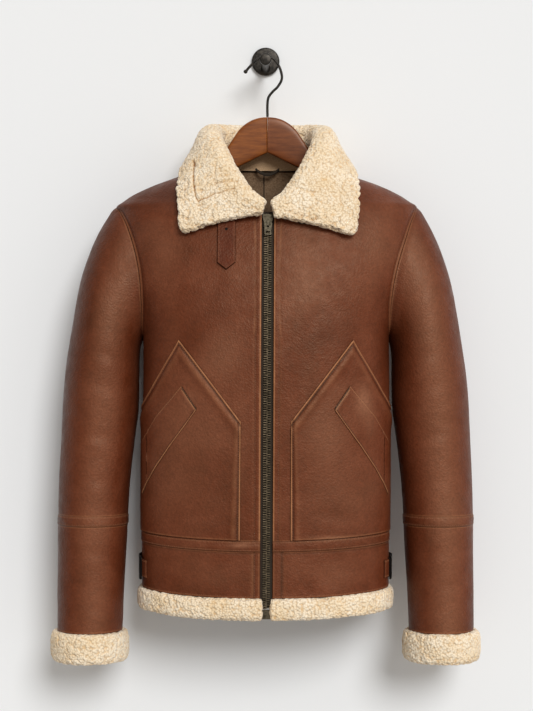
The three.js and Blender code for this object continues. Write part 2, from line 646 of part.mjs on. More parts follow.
// A strip down the front between two distances from the zip's middle, narrow between the ends of the hem pile
function zipStrip(from, to, front, thick, top, bottom) {
  const levels = [...BODY.map((row) => row.z), HEM_Z + 1, HEM_Z];
  const between = levels.filter((z) => z < top - 1 && z > bottom + 1);
  const zs = [top, ...between.sort((a, b) => b - a), bottom];
  const inHem = (distance) => Math.sign(distance) * Math.min(Math.abs(distance), HEM_TAPE);
  const narrow = (distance, z) => (z <= HEM_Z ? inHem(distance) : distance);
  const section = (z) => {
    const [x, y, height] = [zipX(z), zipFrontY(z) + front, zipDip(z)];
    const [x0, x1] = [x + narrow(from, z), x + narrow(to, z)];
    return [
      [x0, y, height],
      [x1, y, height],
      [x1, y + thick, height],
      [x0, y + thick, height],
    ];
  };
  return loft(zs.map(section));
}
addMesh("zip_tape_left", zipStrip(-TAPE_HALF, -SEAM, TAPE_BACK, TAPE_THICK, TAPE_TOP_Z, TAPE_LOW_Z), "tape");
addMesh("zip_tape_right", zipStrip(SEAM, TAPE_HALF, TAPE_BACK, TAPE_THICK, TAPE_TOP_Z, TAPE_LOW_Z), "tape");
const chain = zipStrip(-CHAIN_HALF, CHAIN_HALF, CHAIN_FRONT, CHAIN_THICK, ZIP_TOP_Z, ZIP_LOW_Z);
addMesh("zip_chain", chain, "brass");

function box(sizeX, sizeY, sizeZ, x, y, z) {
  return new THREE.BoxGeometry(sizeX, sizeY, sizeZ).translate(x, y, z);
}

// Joins geometries into one solid
function joined(geometries) {
  const solids = geometries.map((geometry) => {
    const seen = new Map();
    const verts = [];
    const tris = [];
    const position = geometry.getAttribute("position");
    const count = geometry.index ? geometry.index.count : position.count;
    const corner = (i) => {
      const v = geometry.index ? geometry.index.getX(i) : i;
      const p = [position.getX(v), position.getY(v), position.getZ(v)];
      const key = p.map((c) => Math.round(c * 1e4)).join(" ");
      if (!seen.has(key)) {
        seen.set(key, verts.length / 3);
        verts.push(...p);
      }
      return seen.get(key);
    };
    for (let i = 0; i < count; i += 3) {
      const [a, b, c] = [corner(i), corner(i + 1), corner(i + 2)];
      if (a !== b && b !== c && c !== a) tris.push(a, b, c);
    }
    const mesh = new wasm.Mesh({
      numProp: 3,
      vertProperties: new Float32Array(verts),
      triVerts: new Uint32Array(tris),
    });
    return new wasm.Manifold(mesh);
  });
  const mesh = solids.reduce((a, b) => a.add(b)).getMesh();
  const geometry = new THREE.BufferGeometry();
  geometry.setAttribute("position", new THREE.Float32BufferAttribute(mesh.vertProperties, 3));
  geometry.setIndex([...mesh.triVerts]);
  geometry.computeVertexNormals();
  return geometry;
}

// Slider: a front plate wide at its top, two flanges beside the teeth, and an arch that holds the pull.
// It and the pull are drawn upright round the hinge, with the front's surface at y = 0, and lean as it does.
const SLIDER = { top: 13, bottom: -7, wide: 7.3, narrow: 5.9, thick: 2.2, flange: 1.3, neck: 12, deep: 3 };
const HINGE_Z = -266;
const PULL = { half: 5.1, thick: 1.6, gap: 0.6, long: 20.6, hole: 1.9, bar: 0.8, slot: 8.6, corner: 1.2 };
const PULL_EYE = { half: 3, top: 6, bottom: 2 };
const ARCH = { half: 1.3, thick: 1.4, post: 2.2, above: 1.7, below: 4.6 };
const pullY = -SLIDER.thick - PULL.gap - PULL.thick / 2;

const zipHead = new THREE.Group();
zipHead.position.set(zipX(HINGE_Z), zipFrontY(HINGE_Z), HINGE_Z);
const LEAN_FROM_Z = -253;
const LEAN_TO_Z = -280;
zipHead.rotation.x = Math.atan2(zipFrontY(LEAN_TO_Z) - zipFrontY(LEAN_FROM_Z), LEAN_FROM_Z - LEAN_TO_Z);
root.add(zipHead);

// A flat outline in x and z, given thickness from y = front backwards
function plateFrom(outline, front, thick) {
  const geometry = new THREE.ExtrudeGeometry(outline, { depth: thick, bevelEnabled: false });
  const stand = new THREE.Matrix4().set(1, 0, 0, 0, 0, 0, -1, front + thick, 0, 1, 0, 0, 0, 0, 0, 1);
  return geometry.applyMatrix4(stand);
}

const outlineOf = (points, Kind = THREE.Shape) => new Kind(points.map(([x, z]) => new THREE.Vector2(x, z)));

function sliderGeometry() {
  const { top, bottom, wide, narrow, thick, flange, neck, deep } = SLIDER;
  const half = [
    [wide, top],
    [wide, top - neck / 2],
    [narrow, top - neck],
    [narrow, bottom],
  ];
  const mirrored = half.map(([x, z]) => [-x, z]).reverse();
  const plate = plateFrom(outlineOf([...half, ...mirrored]), -thick, thick);
  const tall = top - neck - bottom;
  const flanges = [-1, 1].map((side) =>
    box(flange, deep + 0.2, tall, side * (narrow - flange / 2), deep / 2 - 0.1, bottom + tall / 2),
  );
  const archFront = pullY - PULL.thick / 2 - PULL.gap - ARCH.thick;
  const archDeep = -thick - archFront + 0.3;
  const archY = archFront + archDeep / 2;
  const upperPost = box(2 * ARCH.half, archDeep, ARCH.post, 0, archY, ARCH.above + ARCH.post / 2);
  const lowerPost = box(2 * ARCH.half, archDeep, ARCH.post, 0, archY, -ARCH.below - ARCH.post / 2);
  const barTall = ARCH.above + ARCH.below + 2 * ARCH.post;
  const barZ = (ARCH.above - ARCH.below) / 2;
  const bar = box(2 * ARCH.half, ARCH.thick, barTall, 0, archFront + ARCH.thick / 2, barZ);
  return joined([plate, ...flanges, upperPost, lowerPost, bar]);
}
zipHead.add(addMesh("zip_slider", sliderGeometry(), "pewter"));

function pullGeometry() {
  const { half, bar, corner, hole, slot, long, thick } = PULL;
  const rectangle = (halfWidth, top, bottom) => [
    [-halfWidth, top],
    [-halfWidth, bottom],
    [halfWidth, bottom],
    [halfWidth, top],
  ];
  const right = [
    [half - corner, bar],
    [half, bar - corner],
    [half, corner - long],
    [half - corner, -long],
  ];
  const shape = outlineOf([...right, ...right.map(([x, z]) => [-x, z]).reverse()]);
  shape.holes.push(outlineOf(rectangle(hole, -bar, -slot), THREE.Path));
  const eye = rectangle(PULL_EYE.half, PULL_EYE.top - long, PULL_EYE.bottom - long);
  shape.holes.push(outlineOf(eye, THREE.Path));
  return plateFrom(shape, pullY - thick / 2, thick);
}
zipHead.add(addMesh("zip_pull_tab", pullGeometry(), "pewter"));

const BOTTOM_BOX = { wide: 12, deep: 5, tall: 13, back: 1.6, below: 7 };
const BOX_Z = ZIP_LOW_Z - HEM_DIP;
const { wide: boxWide, deep: boxDeep, tall: boxTall } = BOTTOM_BOX;
const boxAt = [zipX(BOX_Z), zipFrontY(BOX_Z) + BOTTOM_BOX.back, BOX_Z - BOTTOM_BOX.below];
addMesh("zip_bottom_box", box(boxWide, boxDeep, boxTall, ...boxAt), "pewter");

// Throat strap on the left front, and the buckle on its tab on the right front
addMesh("throat_strap", sewnOn(-1, THROAT_STRAP, THROAT_LIFT, THROAT_THICK, 6, true), "strap");
addMesh("buckle_tab", sewnOn(1, BUCKLE_TAB, LAP_LIFT, 2, 2, true), "strap");
function buckleFrame() {
  const b = THROAT_BUCKLE;
  const bar = (x0, x1, z0, z1) => {
    const outline = [
      { x: x0, top: z1, bottom: z0 },
      { x: x1, top: z1, bottom: z0 },
    ];
    return sewnOn(1, outline, b.lift, b.thick, 1, true);
  };
  return joined([
    bar(b.inner, b.outer, b.top - b.bar, b.top),
    bar(b.inner, b.outer, b.bottom, b.bottom + b.bar),
    bar(b.inner, b.inner + b.bar, b.bottom, b.top),
    bar(b.outer - b.bar, b.outer, b.bottom, b.top),
  ]);
}
addMesh("throat_buckle", buckleFrame(), "pewter");

// Side adjusters: points round the side seam, from a distance on the front to one on the back
function aroundSide(side, spec) {
  const z = (spec.top + spec.bottom) / 2;
  const [u0, u1] = [shareAt(FRONT, side, spec.front, z), shareAt(BACK, side, spec.back, z)];
  const own = (face, from, turns) =>
    steps(turns)
      .filter((u) => u > from + 0.02 && u < 1)
      .map((u) => [face, u]);
  const columns = [
    [FRONT, u0],
    ...own(FRONT, u0, FRONT_STEPS),
    [FRONT, 1],
    ...own(BACK, u1, BACK_STEPS / 2).reverse(),
    [BACK, u1],
  ];
  const rowOf = (height, offset) => columns.map(([face, u]) => lifted(face, side, u, height, offset));
  const grid = (offset) => [spec.top, z, spec.bottom].map((height) => rowOf(height, offset));
  return wall(grid(spec.lift + spec.thick), grid(spec.lift));
}
for (const { side, label } of SIDES) {
  addMesh(`adjuster_strap_${label}`, aroundSide(side, ADJUSTER), "strap");
  addMesh(`adjuster_buckle_${label}`, aroundSide(side, ADJUSTER_BUCKLE), "pewter");
}

// Inside of the neck: the facing on the collar's stand, the lining below it, and the loop at their seam
const FACING_STATIONS = 2;
const FACING_CLEAR = 2.4;
const LINING_PIECE = { top: -175.3, bottom: -335, halfWidth: 120, widest: 0.8, inside: 1 };

function facing() {
  const middle = COLLAR.length - 1;
  const stations = steps(2 * FACING_STATIONS).map((t) => middle - FACING_STATIONS + t * 2 * FACING_STATIONS);
  const towardsNeck = dot(collarNormal(middle, 0), [0, -1, 0]) > 0 ? 1 : -1;
  const away = towardsNeck * (FLEECE / 2 + FACING_CLEAR);
  const grid = (offset) =>
    [0, 1].map((j) =>
      stations.map((i) => add(COLLAR_GRID[i][j], collarNormal(i, j), away + towardsNeck * offset)),
    );
  return wall(grid(LINING), grid(0));
}
addMesh("neck_facing", facing(), "lining");

function lining() {
  const spread = steps(8).map((t) => mix(-1, 1, t));
  const { top, bottom } = LINING_PIECE;
  const heights = [top, ...BODY.map((row) => row.z).filter((z) => z < top - 1 && z > bottom), bottom];
  const grid = (offset) =>
    heights.map((z) =>
      spread.map((t) => {
        const side = t < 0 ? -1 : 1;
        const widest = Math.min(LINING_PIECE.halfWidth, rowAt(BODY, "z", z).left * LINING_PIECE.widest);
        const share = shareAt(BACK, side, widest * Math.abs(t), z);
        return lifted(BACK, side, share, z, -LEATHER - LINING_PIECE.inside - offset);
      }),
    );
  return wall(grid(0), grid(LINING));
}
addMesh("lining_back", lining(), "lining");

const LOOP = { half: 18, droop: 8, proud: 1.5, y: -49.4, thick: 2.2, wide: 2.6, z: -173.5 };
function loop() {
  const sections = steps(10).map((t) => {
    const across = 2 * t - 1;
    const z = LOOP.z - LOOP.droop * (1 - across * across);
    const y = LOOP.y - LOOP.proud * (1 - across ** 4);
    const middle = [HANGER_X + LOOP.half * across, y, z];
    return roundedSection(middle, [0, 1, 0], [0, 0, 1], LOOP.thick / 2, LOOP.wide, 8);
  });
  return loft(sections);
}
addMesh("hanging_loop", loop(), "strap");

// Hanger: two arms mitred at the middle, its wire with a ball tip, and the wall hook
for (const { side, label } of SIDES) {
  const sections = ARM.map((row) => {
    const x = HANGER_X + side * (row.x + HALF_SEAM);
    const middle = [x, HANGER_Y, (row.top + row.bottom) / 2];
    return roundedSection(middle, [0, 1, 0], [0, 0, 1], row.half, (row.top - row.bottom) / 2, 8, 5);
  });
  addMesh(`hanger_${label}`, loft(sections), side < 0 ? "woodLight" : "woodDark");
}

function wireGeometry() {
  const sections = WIRE.map((p, i) => {
    const before = WIRE[Math.max(0, i - 1)];
    const after = WIRE[Math.min(WIRE.length - 1, i + 1)];
    const along = unit([after.x - before.x, 0, after.z - before.z]);
    const across = [along[2], 0, -along[0]];
    return roundedSection([p.x, HANGER_Y, p.z], across, [0, 1, 0], WIRE_RADIUS, WIRE_RADIUS, 8, 2);
  });
  const ball = new THREE.SphereGeometry(3.1, 10, 8).translate(WIRE[0].x, HANGER_Y, WIRE[0].z);
  return joined([loft(sections), ball]);
}
addMesh("hanger_wire", wireGeometry(), "iron");

// Turned parts along the Y axis, from a profile of distance from the wall and radius
function turned(profile, z, count) {
  const points = profile.map(([y, r]) => new THREE.Vector2(r, y));
  return new THREE.LatheGeometry(points, count).rotateX(Math.PI).translate(0, 0, z);
}
const plateProfile = [
  [0, 0],
  [0, PLATE_RADIUS],
  [PLATE_THICK - 2, PLATE_RADIUS],
  [PLATE_THICK, PLATE_RADIUS - 2],
  [PLATE_THICK, 0],
];
const pegEnd = -KNOB_Y;
const pegProfile = [
  [PLATE_THICK - 1, 0],
  [PLATE_THICK - 1, PEG_RADIUS + 2],
  [PLATE_THICK + 6, PEG_RADIUS],
  [pegEnd, PEG_RADIUS],
  [pegEnd, KNOB_RADIUS - 1],
  [pegEnd + 1, KNOB_RADIUS],
  [pegEnd + KNOB_THICK - 1, KNOB_RADIUS],
  [pegEnd + KNOB_THICK, KNOB_RADIUS - 1],
  [pegEnd + KNOB_THICK, 0],
];
addMesh("wall_hook", joined([turned(plateProfile, 0, 32), turned(pegProfile, PEG_Z, 20)]), "iron");

export default root;
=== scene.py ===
import itertools
import math

import bpy
import numpy as np
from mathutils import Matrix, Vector


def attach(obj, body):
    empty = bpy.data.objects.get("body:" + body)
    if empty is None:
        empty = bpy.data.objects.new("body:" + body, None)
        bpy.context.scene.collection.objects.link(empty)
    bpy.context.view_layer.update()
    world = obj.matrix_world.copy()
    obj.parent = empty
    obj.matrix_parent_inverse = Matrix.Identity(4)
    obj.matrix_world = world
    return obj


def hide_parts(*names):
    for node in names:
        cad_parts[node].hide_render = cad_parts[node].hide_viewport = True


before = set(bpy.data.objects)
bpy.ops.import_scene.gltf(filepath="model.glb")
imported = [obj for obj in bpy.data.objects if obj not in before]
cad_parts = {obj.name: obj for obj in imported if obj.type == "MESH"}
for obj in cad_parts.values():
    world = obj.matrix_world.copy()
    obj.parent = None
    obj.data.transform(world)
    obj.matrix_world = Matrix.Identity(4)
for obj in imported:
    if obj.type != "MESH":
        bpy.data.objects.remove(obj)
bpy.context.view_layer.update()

MM = 0.001
RING = 2 * math.pi

# Sizes in millimetres, as in the solids
LEATHER = 3.0
SEAM = 0.3
LAP = 1.4
LAP_LIFT = 0.8
FLEECE = 13.0
SQUARENESS = 2.6
NECK_Z = -175.0
TIP_Z = -235.0
ZIP_NECK_Z = -248.0
UNDERARM_Z = -430.0
WAIST_Z = -719.0
BAND_Z = -735.0
HEM_Z = -802.5
HEM_PILE_Z = -834.0
FOREARM_Z = -696.0
FOREARM_LOW_Z = -712.0
CUFF_Z = -869.5
CUFF_PILE_Z = -914.0
HEM_DIP = 8.0
DIP_FROM_Z = -450.0
DIP_WHOLE_Z = -700.0
ARMHOLE_REACH = {-1: 57.0, 1: 50.0}
ARMHOLE_ROUNDNESS = 0.9
ZIP_GAP = 8.8
ZIP_X_TOP = 3.6
ZIP_X_LOW = 0.7
HANGER_X = 2.9
HANGER_Y = -75.0
FRONT = -1
BACK = 1
SIDES = ((-1, "left"), (1, "right"))

# Body sections: height, middle plane, depth in front and behind, half widths left and right, neckline
BODY_COLUMNS = ("z", "mid", "front", "back", "left", "right", "neck")
BODY = np.array([
    (-175, -78, 43, 41, 100, 101, 94),
    (-189, -78, 55, 48, 133, 134, 84),
    (-203, -79, 65, 55, 170, 173, 70),
    (-218, -80, 75, 60, 202, 204, 54),
    (-228, -81, 81, 63, 216.5, 218.5, 42),
    (-235, -82, 85, 65, 225.5, 228.5, 31),
    (-241, -83, 88, 66, 219.5, 225, 20),
    (-248, -84, 91, 68, 215, 222, ZIP_GAP),
    (-262, -86, 94, 70, 208, 216, ZIP_GAP),
    (-283, -89, 98, 73, 200, 209, ZIP_GAP),
    (-308, -93, 101, 77, 192.5, 200.5, ZIP_GAP),
    (-335, -96, 104, 81, 187, 193, ZIP_GAP),
    (-363, -100, 105, 85, 184, 187.5, ZIP_GAP),
    (-391, -103, 106, 89, 183, 184.5, ZIP_GAP),
    (-416, -106, 106, 92, 183, 184, ZIP_GAP),
    (-430, -107, 106, 93, 183, 184, ZIP_GAP),
    (-480, -109, 106, 96, 183, 184.5, ZIP_GAP),
    (-560, -110, 105, 98, 184, 185, ZIP_GAP),
    (-640, -110, 102, 99, 185, 185, ZIP_GAP),
    (-719, -110, 99, 99, 185, 184.5, ZIP_GAP),
    (-804, -110, 97, 99, 184.5, 184, ZIP_GAP),
    (-840, -110, 97, 99, 184.5, 184, ZIP_GAP),
])

# Sleeve cap: outer x and z, inner x and z, middle, half depth, and how far it has left the armhole's shape
SLEEVE_CAP = (
    (238.5, -247, 186.5, -437, -93, 62, 0.3),
    (252.8, -271, 187.5, -441, -94, 65, 0.62),
    (267, -306, 188.5, -447, -95, 67, 0.88),
    (279, -350, 189.5, -456, -96, 68, 1),
    (288.5, -400, 190, -471, -97, 68, 1),
    (295.5, -446, 190, -491, -98, 67, 1),
    (301.5, -490, 190, -514, -99, 66, 1),
    (305.0, -532, 191, -541, -100, 64, 1),
)

# Level sections of the sleeve: height, outer and inner edge, middle, half depth
SLEEVE = (
    (-562, 306.2, 193.5, -101, 62),
    (-596, 307.5, 198, -103, 60.5),
    (-632, 309.1, 202, -105, 58.5),
    (-668, 310.2, 205, -107, 56.5),
    (-696, 310.8, 206.5, -108, 55.5),
    (-712, 311, 207, -109, 54.5),
    (-760, 311.2, 209.5, -110, 52.5),
    (-815, 311.4, 212.3, -111, 50.5),
    (-869.5, 311.5, 214.7, -112, 49),
)

# Collar from the middle of the back to the zip: base, top of the fold, free edge, and how open its fold is
COLLAR = np.array([
    (0, -37, -174.3, 0, -29, -110, 0, -15.5, -200, 11),
    (40, -38, -174.3, 40, -31, -110, 53, -16, -200, 11),
    (76, -46, -171, 67, -44, -111, 97, -21, -195, 11.5),
    (91, -64, -167, 76, -62, -113.5, 118, -46, -181, 11.5),
    (94, -82, -166, 79, -84, -118, 120, -84, -173, 11),
    (91, -105, -170, 77, -107, -128, 125, -116, -184, 11),
    (81, -126, -186, 71, -131, -146, 128.5, -146, -206, 10.5),
    (68, -143, -201, 60, -150, -168, 129, -168, -240, 10),
    (55, -154, -213, 48.5, -162, -190, 122, -178, -275, 9.5),
    (40, -165, -223, 35, -172, -211, 86, -184, -267, 8.5),
    (25, -174.5, -231, 21, -181, -228, 43, -190, -257, 7),
    (8.5, -181, -236, 8, -187, -238, 10, -193, -251, 4.5),
])
COLLAR_X = 3.9
COLLAR_RIGHT_DROP = 4
COLLAR_LIFT = 6.2

# What is sewn on a front: distance from the middle, top and bottom edge
SIDE_PANEL = np.array([(36, -551, -718.7), (127, -436, -718.7), (200, -560, -718.7)])
WELT = np.array([(99, -533, -536), (121, -502, -567), (138, -523, -591), (157, -546, -621), (171, -571, -647),
                 (178, -584, -664)])
THROAT_STRAP = np.array([(43.7, -240, -325), (56.7, -240, -335), (69.6, -240, -325)])
ADJUSTER = dict(top=-760, bottom=-786, front=174, back=120, lift=0.4, thick=2.4)
ADJUSTER_BUCKLE = dict(top=-756, bottom=-790, front=180, back=176, lift=3.1, thick=2.2)

# Hanger arm from the mitre: distance, top, bottom, half thickness
ARM = np.array([
    (0, -97, -151.2, 6.5),
    (10, -97.8, -156, 6.5),
    (20, -100.3, -160.9, 6.5),
    (32, -106.6, -166.8, 6.5),
    (43, -116.4, -172.2, 6.5),
    (53, -131, -177, 6.6),
    (64, -147.5, -182.4, 6.9),
    (78, -164.5, -189.5, 7.5),
    (97, -180.6, -200, 9),
    (130, -194.1, -217, 12),
    (164, -207.5, -235, 15.5),
    (196, -222.5, -250, 17.5),
    (206, -231, -250, 15),
])
WIRE = np.array([
    (-30.4, -27.5), (-24, -20), (-17.5, -13.5), (-9.5, -7.2), (0.6, -4.1), (11, -7.6), (18.6, -16.2),
    (23.6, -28), (24.6, -39), (18.6, -50.4), (10.4, -58.6), (4.6, -66.5), (2.9, -76), (2.9, -96.3),
])


# Smooth curve through a table's rows, with slopes that never overshoot
def hermite(at, xs, ys):
    xs = np.asarray(xs, float)
    ys = np.asarray(ys, float)
    if xs[0] > xs[-1]:
        xs, ys = xs[::-1], ys[::-1]
    shape = (-1,) + (1,) * (ys.ndim - 1)
    h = np.diff(xs).reshape(shape)
    rise = np.diff(ys, axis=0) / h
    slope = np.empty_like(ys)
    slope[0], slope[-1] = rise[0], rise[-1]
    same = rise[:-1] * rise[1:] > 0
    total = rise[:-1] + rise[1:]
    slope[1:-1] = np.where(same, 2 * rise[:-1] * rise[1:] / np.where(same, total, 1), 0)
    at = np.asarray(at, float)
    i = np.clip(np.searchsorted(xs, at, side="right") - 1, 0, len(xs) - 2)
    t = (at - xs[i]) / (xs[i + 1] - xs[i])
    step = xs[i + 1] - xs[i]
    if ys.ndim > 1:
        t = t.reshape(at.shape + (1,) * (ys.ndim - 1))
        step = step.reshape(t.shape)
    a, b = ys[i], ys[i + 1]
    t2, t3 = t * t, t * t * t
    return (a * (2 * t3 - 3 * t2 + 1) + slope[i] * step * (t3 - 2 * t2 + t)
            + b * (3 * t2 - 2 * t3) + slope[i + 1] * step * (t3 - t2))


def body(column, z):
    return hermite(np.clip(z, BODY[-1, 0], BODY[0, 0]), BODY[:, 0], BODY[:, BODY_COLUMNS.index(column)])


def unit(v):
    return v / np.maximum(np.linalg.norm(v, axis=-1, keepdims=True), 1e-9)


def zip_x(z):
    return ZIP_X_LOW + (ZIP_X_TOP - ZIP_X_LOW) * np.clip((z - HEM_PILE_Z) / (ZIP_NECK_Z - HEM_PILE_Z), 0, 1)


def armhole_half(face, z):
    share = np.clip((TIP_Z - z) / (TIP_Z - UNDERARM_Z), 0, 1)
    return ARMHOLE_REACH[face] * np.maximum(1 - (1 - 2 * share) ** 2, 0) ** (ARMHOLE_ROUNDNESS / 2)


def body_turns(face, side, z):
    depth = body("front" if face < 0 else "back", z)
    edge = body("left" if side < 0 else "right", z)
    opened = (armhole_half(face, z) / depth) ** SQUARENESS
    full = edge * (1 - opened) ** (-1 / SQUARENESS)
    neck = body("neck", z) + side * zip_x(z) if face < 0 else 0 * z
    return depth, full, np.arcsin(neck / full), np.arcsin(np.minimum(1, edge / full))


# A point of the body's outer surface, u = 0 at the middle edge and 1 at the side seam or armhole
def body_point(face, side, u, z):
    u, z = np.broadcast_arrays(np.asarray(u, float), np.asarray(z, float))
    depth, full, start, end = body_turns(face, side, z)
    turn = start + (end - start) * u
    across = np.sin(turn)
    bulge = np.maximum(0, 1 - across ** SQUARENESS) ** (1 / SQUARENESS)
    dip = HEM_DIP * np.clip((z - DIP_FROM_Z) / (DIP_WHOLE_Z - DIP_FROM_Z), 0, 1) * np.cos(turn) ** 2
    return np.stack([side * full * across, body("mid", z) + face * depth * bulge, z - dip], -1)


def share_at(face, side, x, z):
    _, full, start, end = body_turns(face, side, np.asarray(z, float))
    return np.clip((np.arcsin(np.minimum(1, x / full)) - start) / (end - start), 0, 1)


# Positions from one value to another, close together near the ends that are marked
NEAR = np.array([0, 0.35, 0.8, 1.4, 2.2, 3.2, 4.6, 6.2, 8.2, 10.4])


def spaced(start, stop, step, ends="both"):
    length = abs(stop - start)
    first = NEAR if ends in ("both", "first") else np.array([0.0])
    last = length - NEAR[::-1] if ends in ("both", "last") else np.array([length])
    count = max(2, int(round((last[0] - first[-1]) / step)))
    middle = np.linspace(first[-1], last[0], count + 1)[1:-1]
    return start + math.copysign(1, stop - start) * np.concatenate([first, middle, last])


# Repeatable noise on a lattice, and distance to the nearest of scattered points
def lattice(cell, seed):
    h = cell[..., 0] * 374761393 + cell[..., 1] * 668265263 + cell[..., 2] * 1274126177 + seed * 974634777
    h = (h ^ (h >> 13)) * 1103515245
    h = (h ^ (h >> 16)) & 0x7FFFFFFF
    return (h % 100003) / 100003.0


def noise(points, size, seed=0):
    q = points / size
    base = np.floor(q).astype(np.int64)
    f = q - base
    f = f * f * (3 - 2 * f)
    total = np.zeros(points.shape[:-1])
    for corner in itertools.product((0, 1), repeat=3):
        weight = np.ones(points.shape[:-1])
        for axis, bit in enumerate(corner):
            weight = weight * (f[..., axis] if bit else 1 - f[..., axis])
        total += weight * lattice(base + np.array(corner), seed)
    return 2 * total - 1


def cells(points, size, seed=0):
    q = points / size
    base = np.floor(q).astype(np.int64)
    best = np.full(points.shape[:-1], 9.0)
    for offset in itertools.product((-1, 0, 1), repeat=3):
        cell = base + np.array(offset)
        centre = cell + np.stack([lattice(cell, seed + k) for k in (1, 2, 3)], -1)
        best = np.minimum(best, ((q - centre) ** 2).sum(-1))
    return np.sqrt(best)


# Grid geometry
def grid_faces(rows, cols, closed=False):
    i, j = np.meshgrid(np.arange(rows - 1), np.arange(cols if closed else cols - 1), indexing="ij")
    k = (j + 1) % cols
    return np.stack([i * cols + j, i * cols + k, (i + 1) * cols + k, (i + 1) * cols + j], -1).reshape(-1, 4)


def grid_normals(grid, outward, closed=False):
    along = np.roll(grid, -1, 1) - np.roll(grid, 1, 1) if closed else np.gradient(grid, axis=1)
    n = unit(np.cross(along, np.gradient(grid, axis=0)))
    return np.where((n * outward).sum(-1, keepdims=True) < 0, -n, n)


def edge_distances(grid):
    down = np.linalg.norm(np.diff(grid, axis=0), axis=-1)
    across = np.linalg.norm(np.diff(grid, axis=1), axis=-1)
    top = np.concatenate([np.zeros((1, grid.shape[1])), np.cumsum(down, 0)])
    first = np.concatenate([np.zeros((grid.shape[0], 1)), np.cumsum(across, 1)], 1)
    return {"top": top, "bottom": top[-1:] - top, "first": first, "last": first[:, -1:] - first}


def bump_at(distance, at, width):
    return np.exp(-(((distance - at) / width) ** 2))


def rolled(distance, radius):
    d = np.clip(radius - distance, 0, radius)
    return np.sqrt(radius * radius - d * d) - radius


def make(name, points, faces, material, values=None, smooth=True, body_name="garment"):
    mesh = bpy.data.meshes.new(name)
    faces = faces.tolist() if isinstance(faces, np.ndarray) else faces
    mesh.from_pydata((np.asarray(points).reshape(-1, 3) * MM).tolist(), [], faces)
    for key, value in (values or {}).items():
        attribute = mesh.attributes.new(key, "FLOAT", "POINT")
        attribute.data.foreach_set("value", np.ravel(value).astype(np.float32))
    if smooth:
        mesh.shade_smooth()
    mesh.materials.append(material)
    obj = bpy.data.objects.new(name, mesh)
    bpy.context.scene.collection.objects.link(obj)
    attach(obj, body_name)
    return obj


# Node trees
def new_material(name):
    material = bpy.data.materials.new(name)
    material.use_nodes = True
    tree = material.node_tree
    return material, tree, tree.nodes["Principled BSDF"]


def colour(text, alpha=1.0):
    parts = [int(text[i:i + 2], 16) / 255 for i in (0, 2, 4)]
    return tuple(c / 12.92 if c <= 0.04045 else ((c + 0.055) / 1.055) ** 2.4 for c in parts) + (alpha,)


def noise_node(tree, scale, detail=3.0, roughness=0.55, stretch=(1, 1, 1)):
    where = tree.nodes.new("ShaderNodeTexCoord")
    mapping = tree.nodes.new("ShaderNodeMapping")
    mapping.inputs["Scale"].default_value = stretch
    node = tree.nodes.new("ShaderNodeTexNoise")
    node.inputs["Scale"].default_value = scale
    node.inputs["Detail"].default_value = detail
    node.inputs["Roughness"].default_value = roughness
    tree.links.new(where.outputs["Object"], mapping.inputs["Vector"])
    tree.links.new(mapping.outputs["Vector"], node.inputs["Vector"])
    return node.outputs["Fac"]


def ramp(tree, source, stops):
    node = tree.nodes.new("ShaderNodeValToRGB")
    elements = node.color_ramp.elements
    while len(elements) < len(stops):
        elements.new(0.5)
    for element, (position, value) in zip(elements, stops):
        element.position = position
        element.color = colour(value) if isinstance(value, str) else (value, value, value, 1)
    tree.links.new(source, node.inputs["Fac"])
    return node.outputs["Color"]


def mixed(tree, factor, a, b, mode="MIX"):
    node = tree.nodes.new("ShaderNodeMix")
    node.data_type = "RGBA"
    node.blend_type = mode
    for value, socket in ((factor, node.inputs[0]), (a, node.inputs[6]), (b, node.inputs[7])):
        if isinstance(value, str):
            socket.default_value = colour(value)
        elif isinstance(value, (int, float)):
            socket.default_value = value
        else:
            tree.links.new(value, socket)
    return node.outputs[2]


def attribute(tree, name):
    node = tree.nodes.new("ShaderNodeAttribute")
    node.attribute_name = name
    return node.outputs["Fac"]


def bump(tree, height, strength, distance, normal=None):
    node = tree.nodes.new("ShaderNodeBump")
    node.inputs["Strength"].default_value = strength
    node.inputs["Distance"].default_value = distance
    tree.links.new(height, node.inputs["Height"])
    if normal is not None:
        tree.links.new(normal, node.inputs["Normal"])
    return node.outputs["Normal"]


def leather_material(name, dark, middle, light, wear_and_highlight_colour="bd8258", shade="1c0c06",
                     painted_highlight="8c5a41", painted_shade_colour="421a0c"):
    material, tree, shader = new_material(name)
    patches = mixed(tree, 0.4, noise_node(tree, 9, 4), noise_node(tree, 38, 5, 0.6))
    base = ramp(tree, patches, ((0.3, dark), (0.5, middle), (0.72, light)))
    fine = ramp(tree, noise_node(tree, 260, 3, 0.7), ((0.3, 0.72), (0.7, 1.04)))
    # Painted highlight and painted shade patches from the attributes
    base = mixed(tree, attribute(tree, "patchy_highlight"), base, painted_highlight)
    base = mixed(tree, attribute(tree, "painted_shade"), base, painted_shade_colour)
    base = mixed(tree, 1.0, base, fine, "MULTIPLY")
    # Wear lines and painted highlights, then painted shade along edges and grooves
    base = mixed(tree, attribute(tree, "wear_and_highlight"), base, wear_and_highlight_colour)
    base = mixed(tree, attribute(tree, "groove"), base, shade)
    tree.links.new(base, shader.inputs["Base Color"])
    roughness = ramp(tree, noise_node(tree, 60, 4), ((0.3, 0.4), (0.7, 0.58)))
    tree.links.new(roughness, shader.inputs["Roughness"])
    shader.inputs["Specular IOR Level"].default_value = 0.36
    shader.inputs["Specular Tint"].default_value = (1.0, 0.72, 0.5, 1)
    grain = tree.nodes.new("ShaderNodeTexVoronoi")
    grain.inputs["Scale"].default_value = 360
    where = tree.nodes.new("ShaderNodeTexCoord")
    tree.links.new(where.outputs["Object"], grain.inputs["Vector"])
    normal = bump(tree, grain.outputs["Distance"], 0.32, 0.001)
    normal = bump(tree, noise_node(tree, 170, 5, 0.65), 0.42, 0.0016, normal)
    tree.links.new(normal, shader.inputs["Normal"])
    return material


# Tufts of the pile, one to each cell
TUFTS_PER_METRE = 285


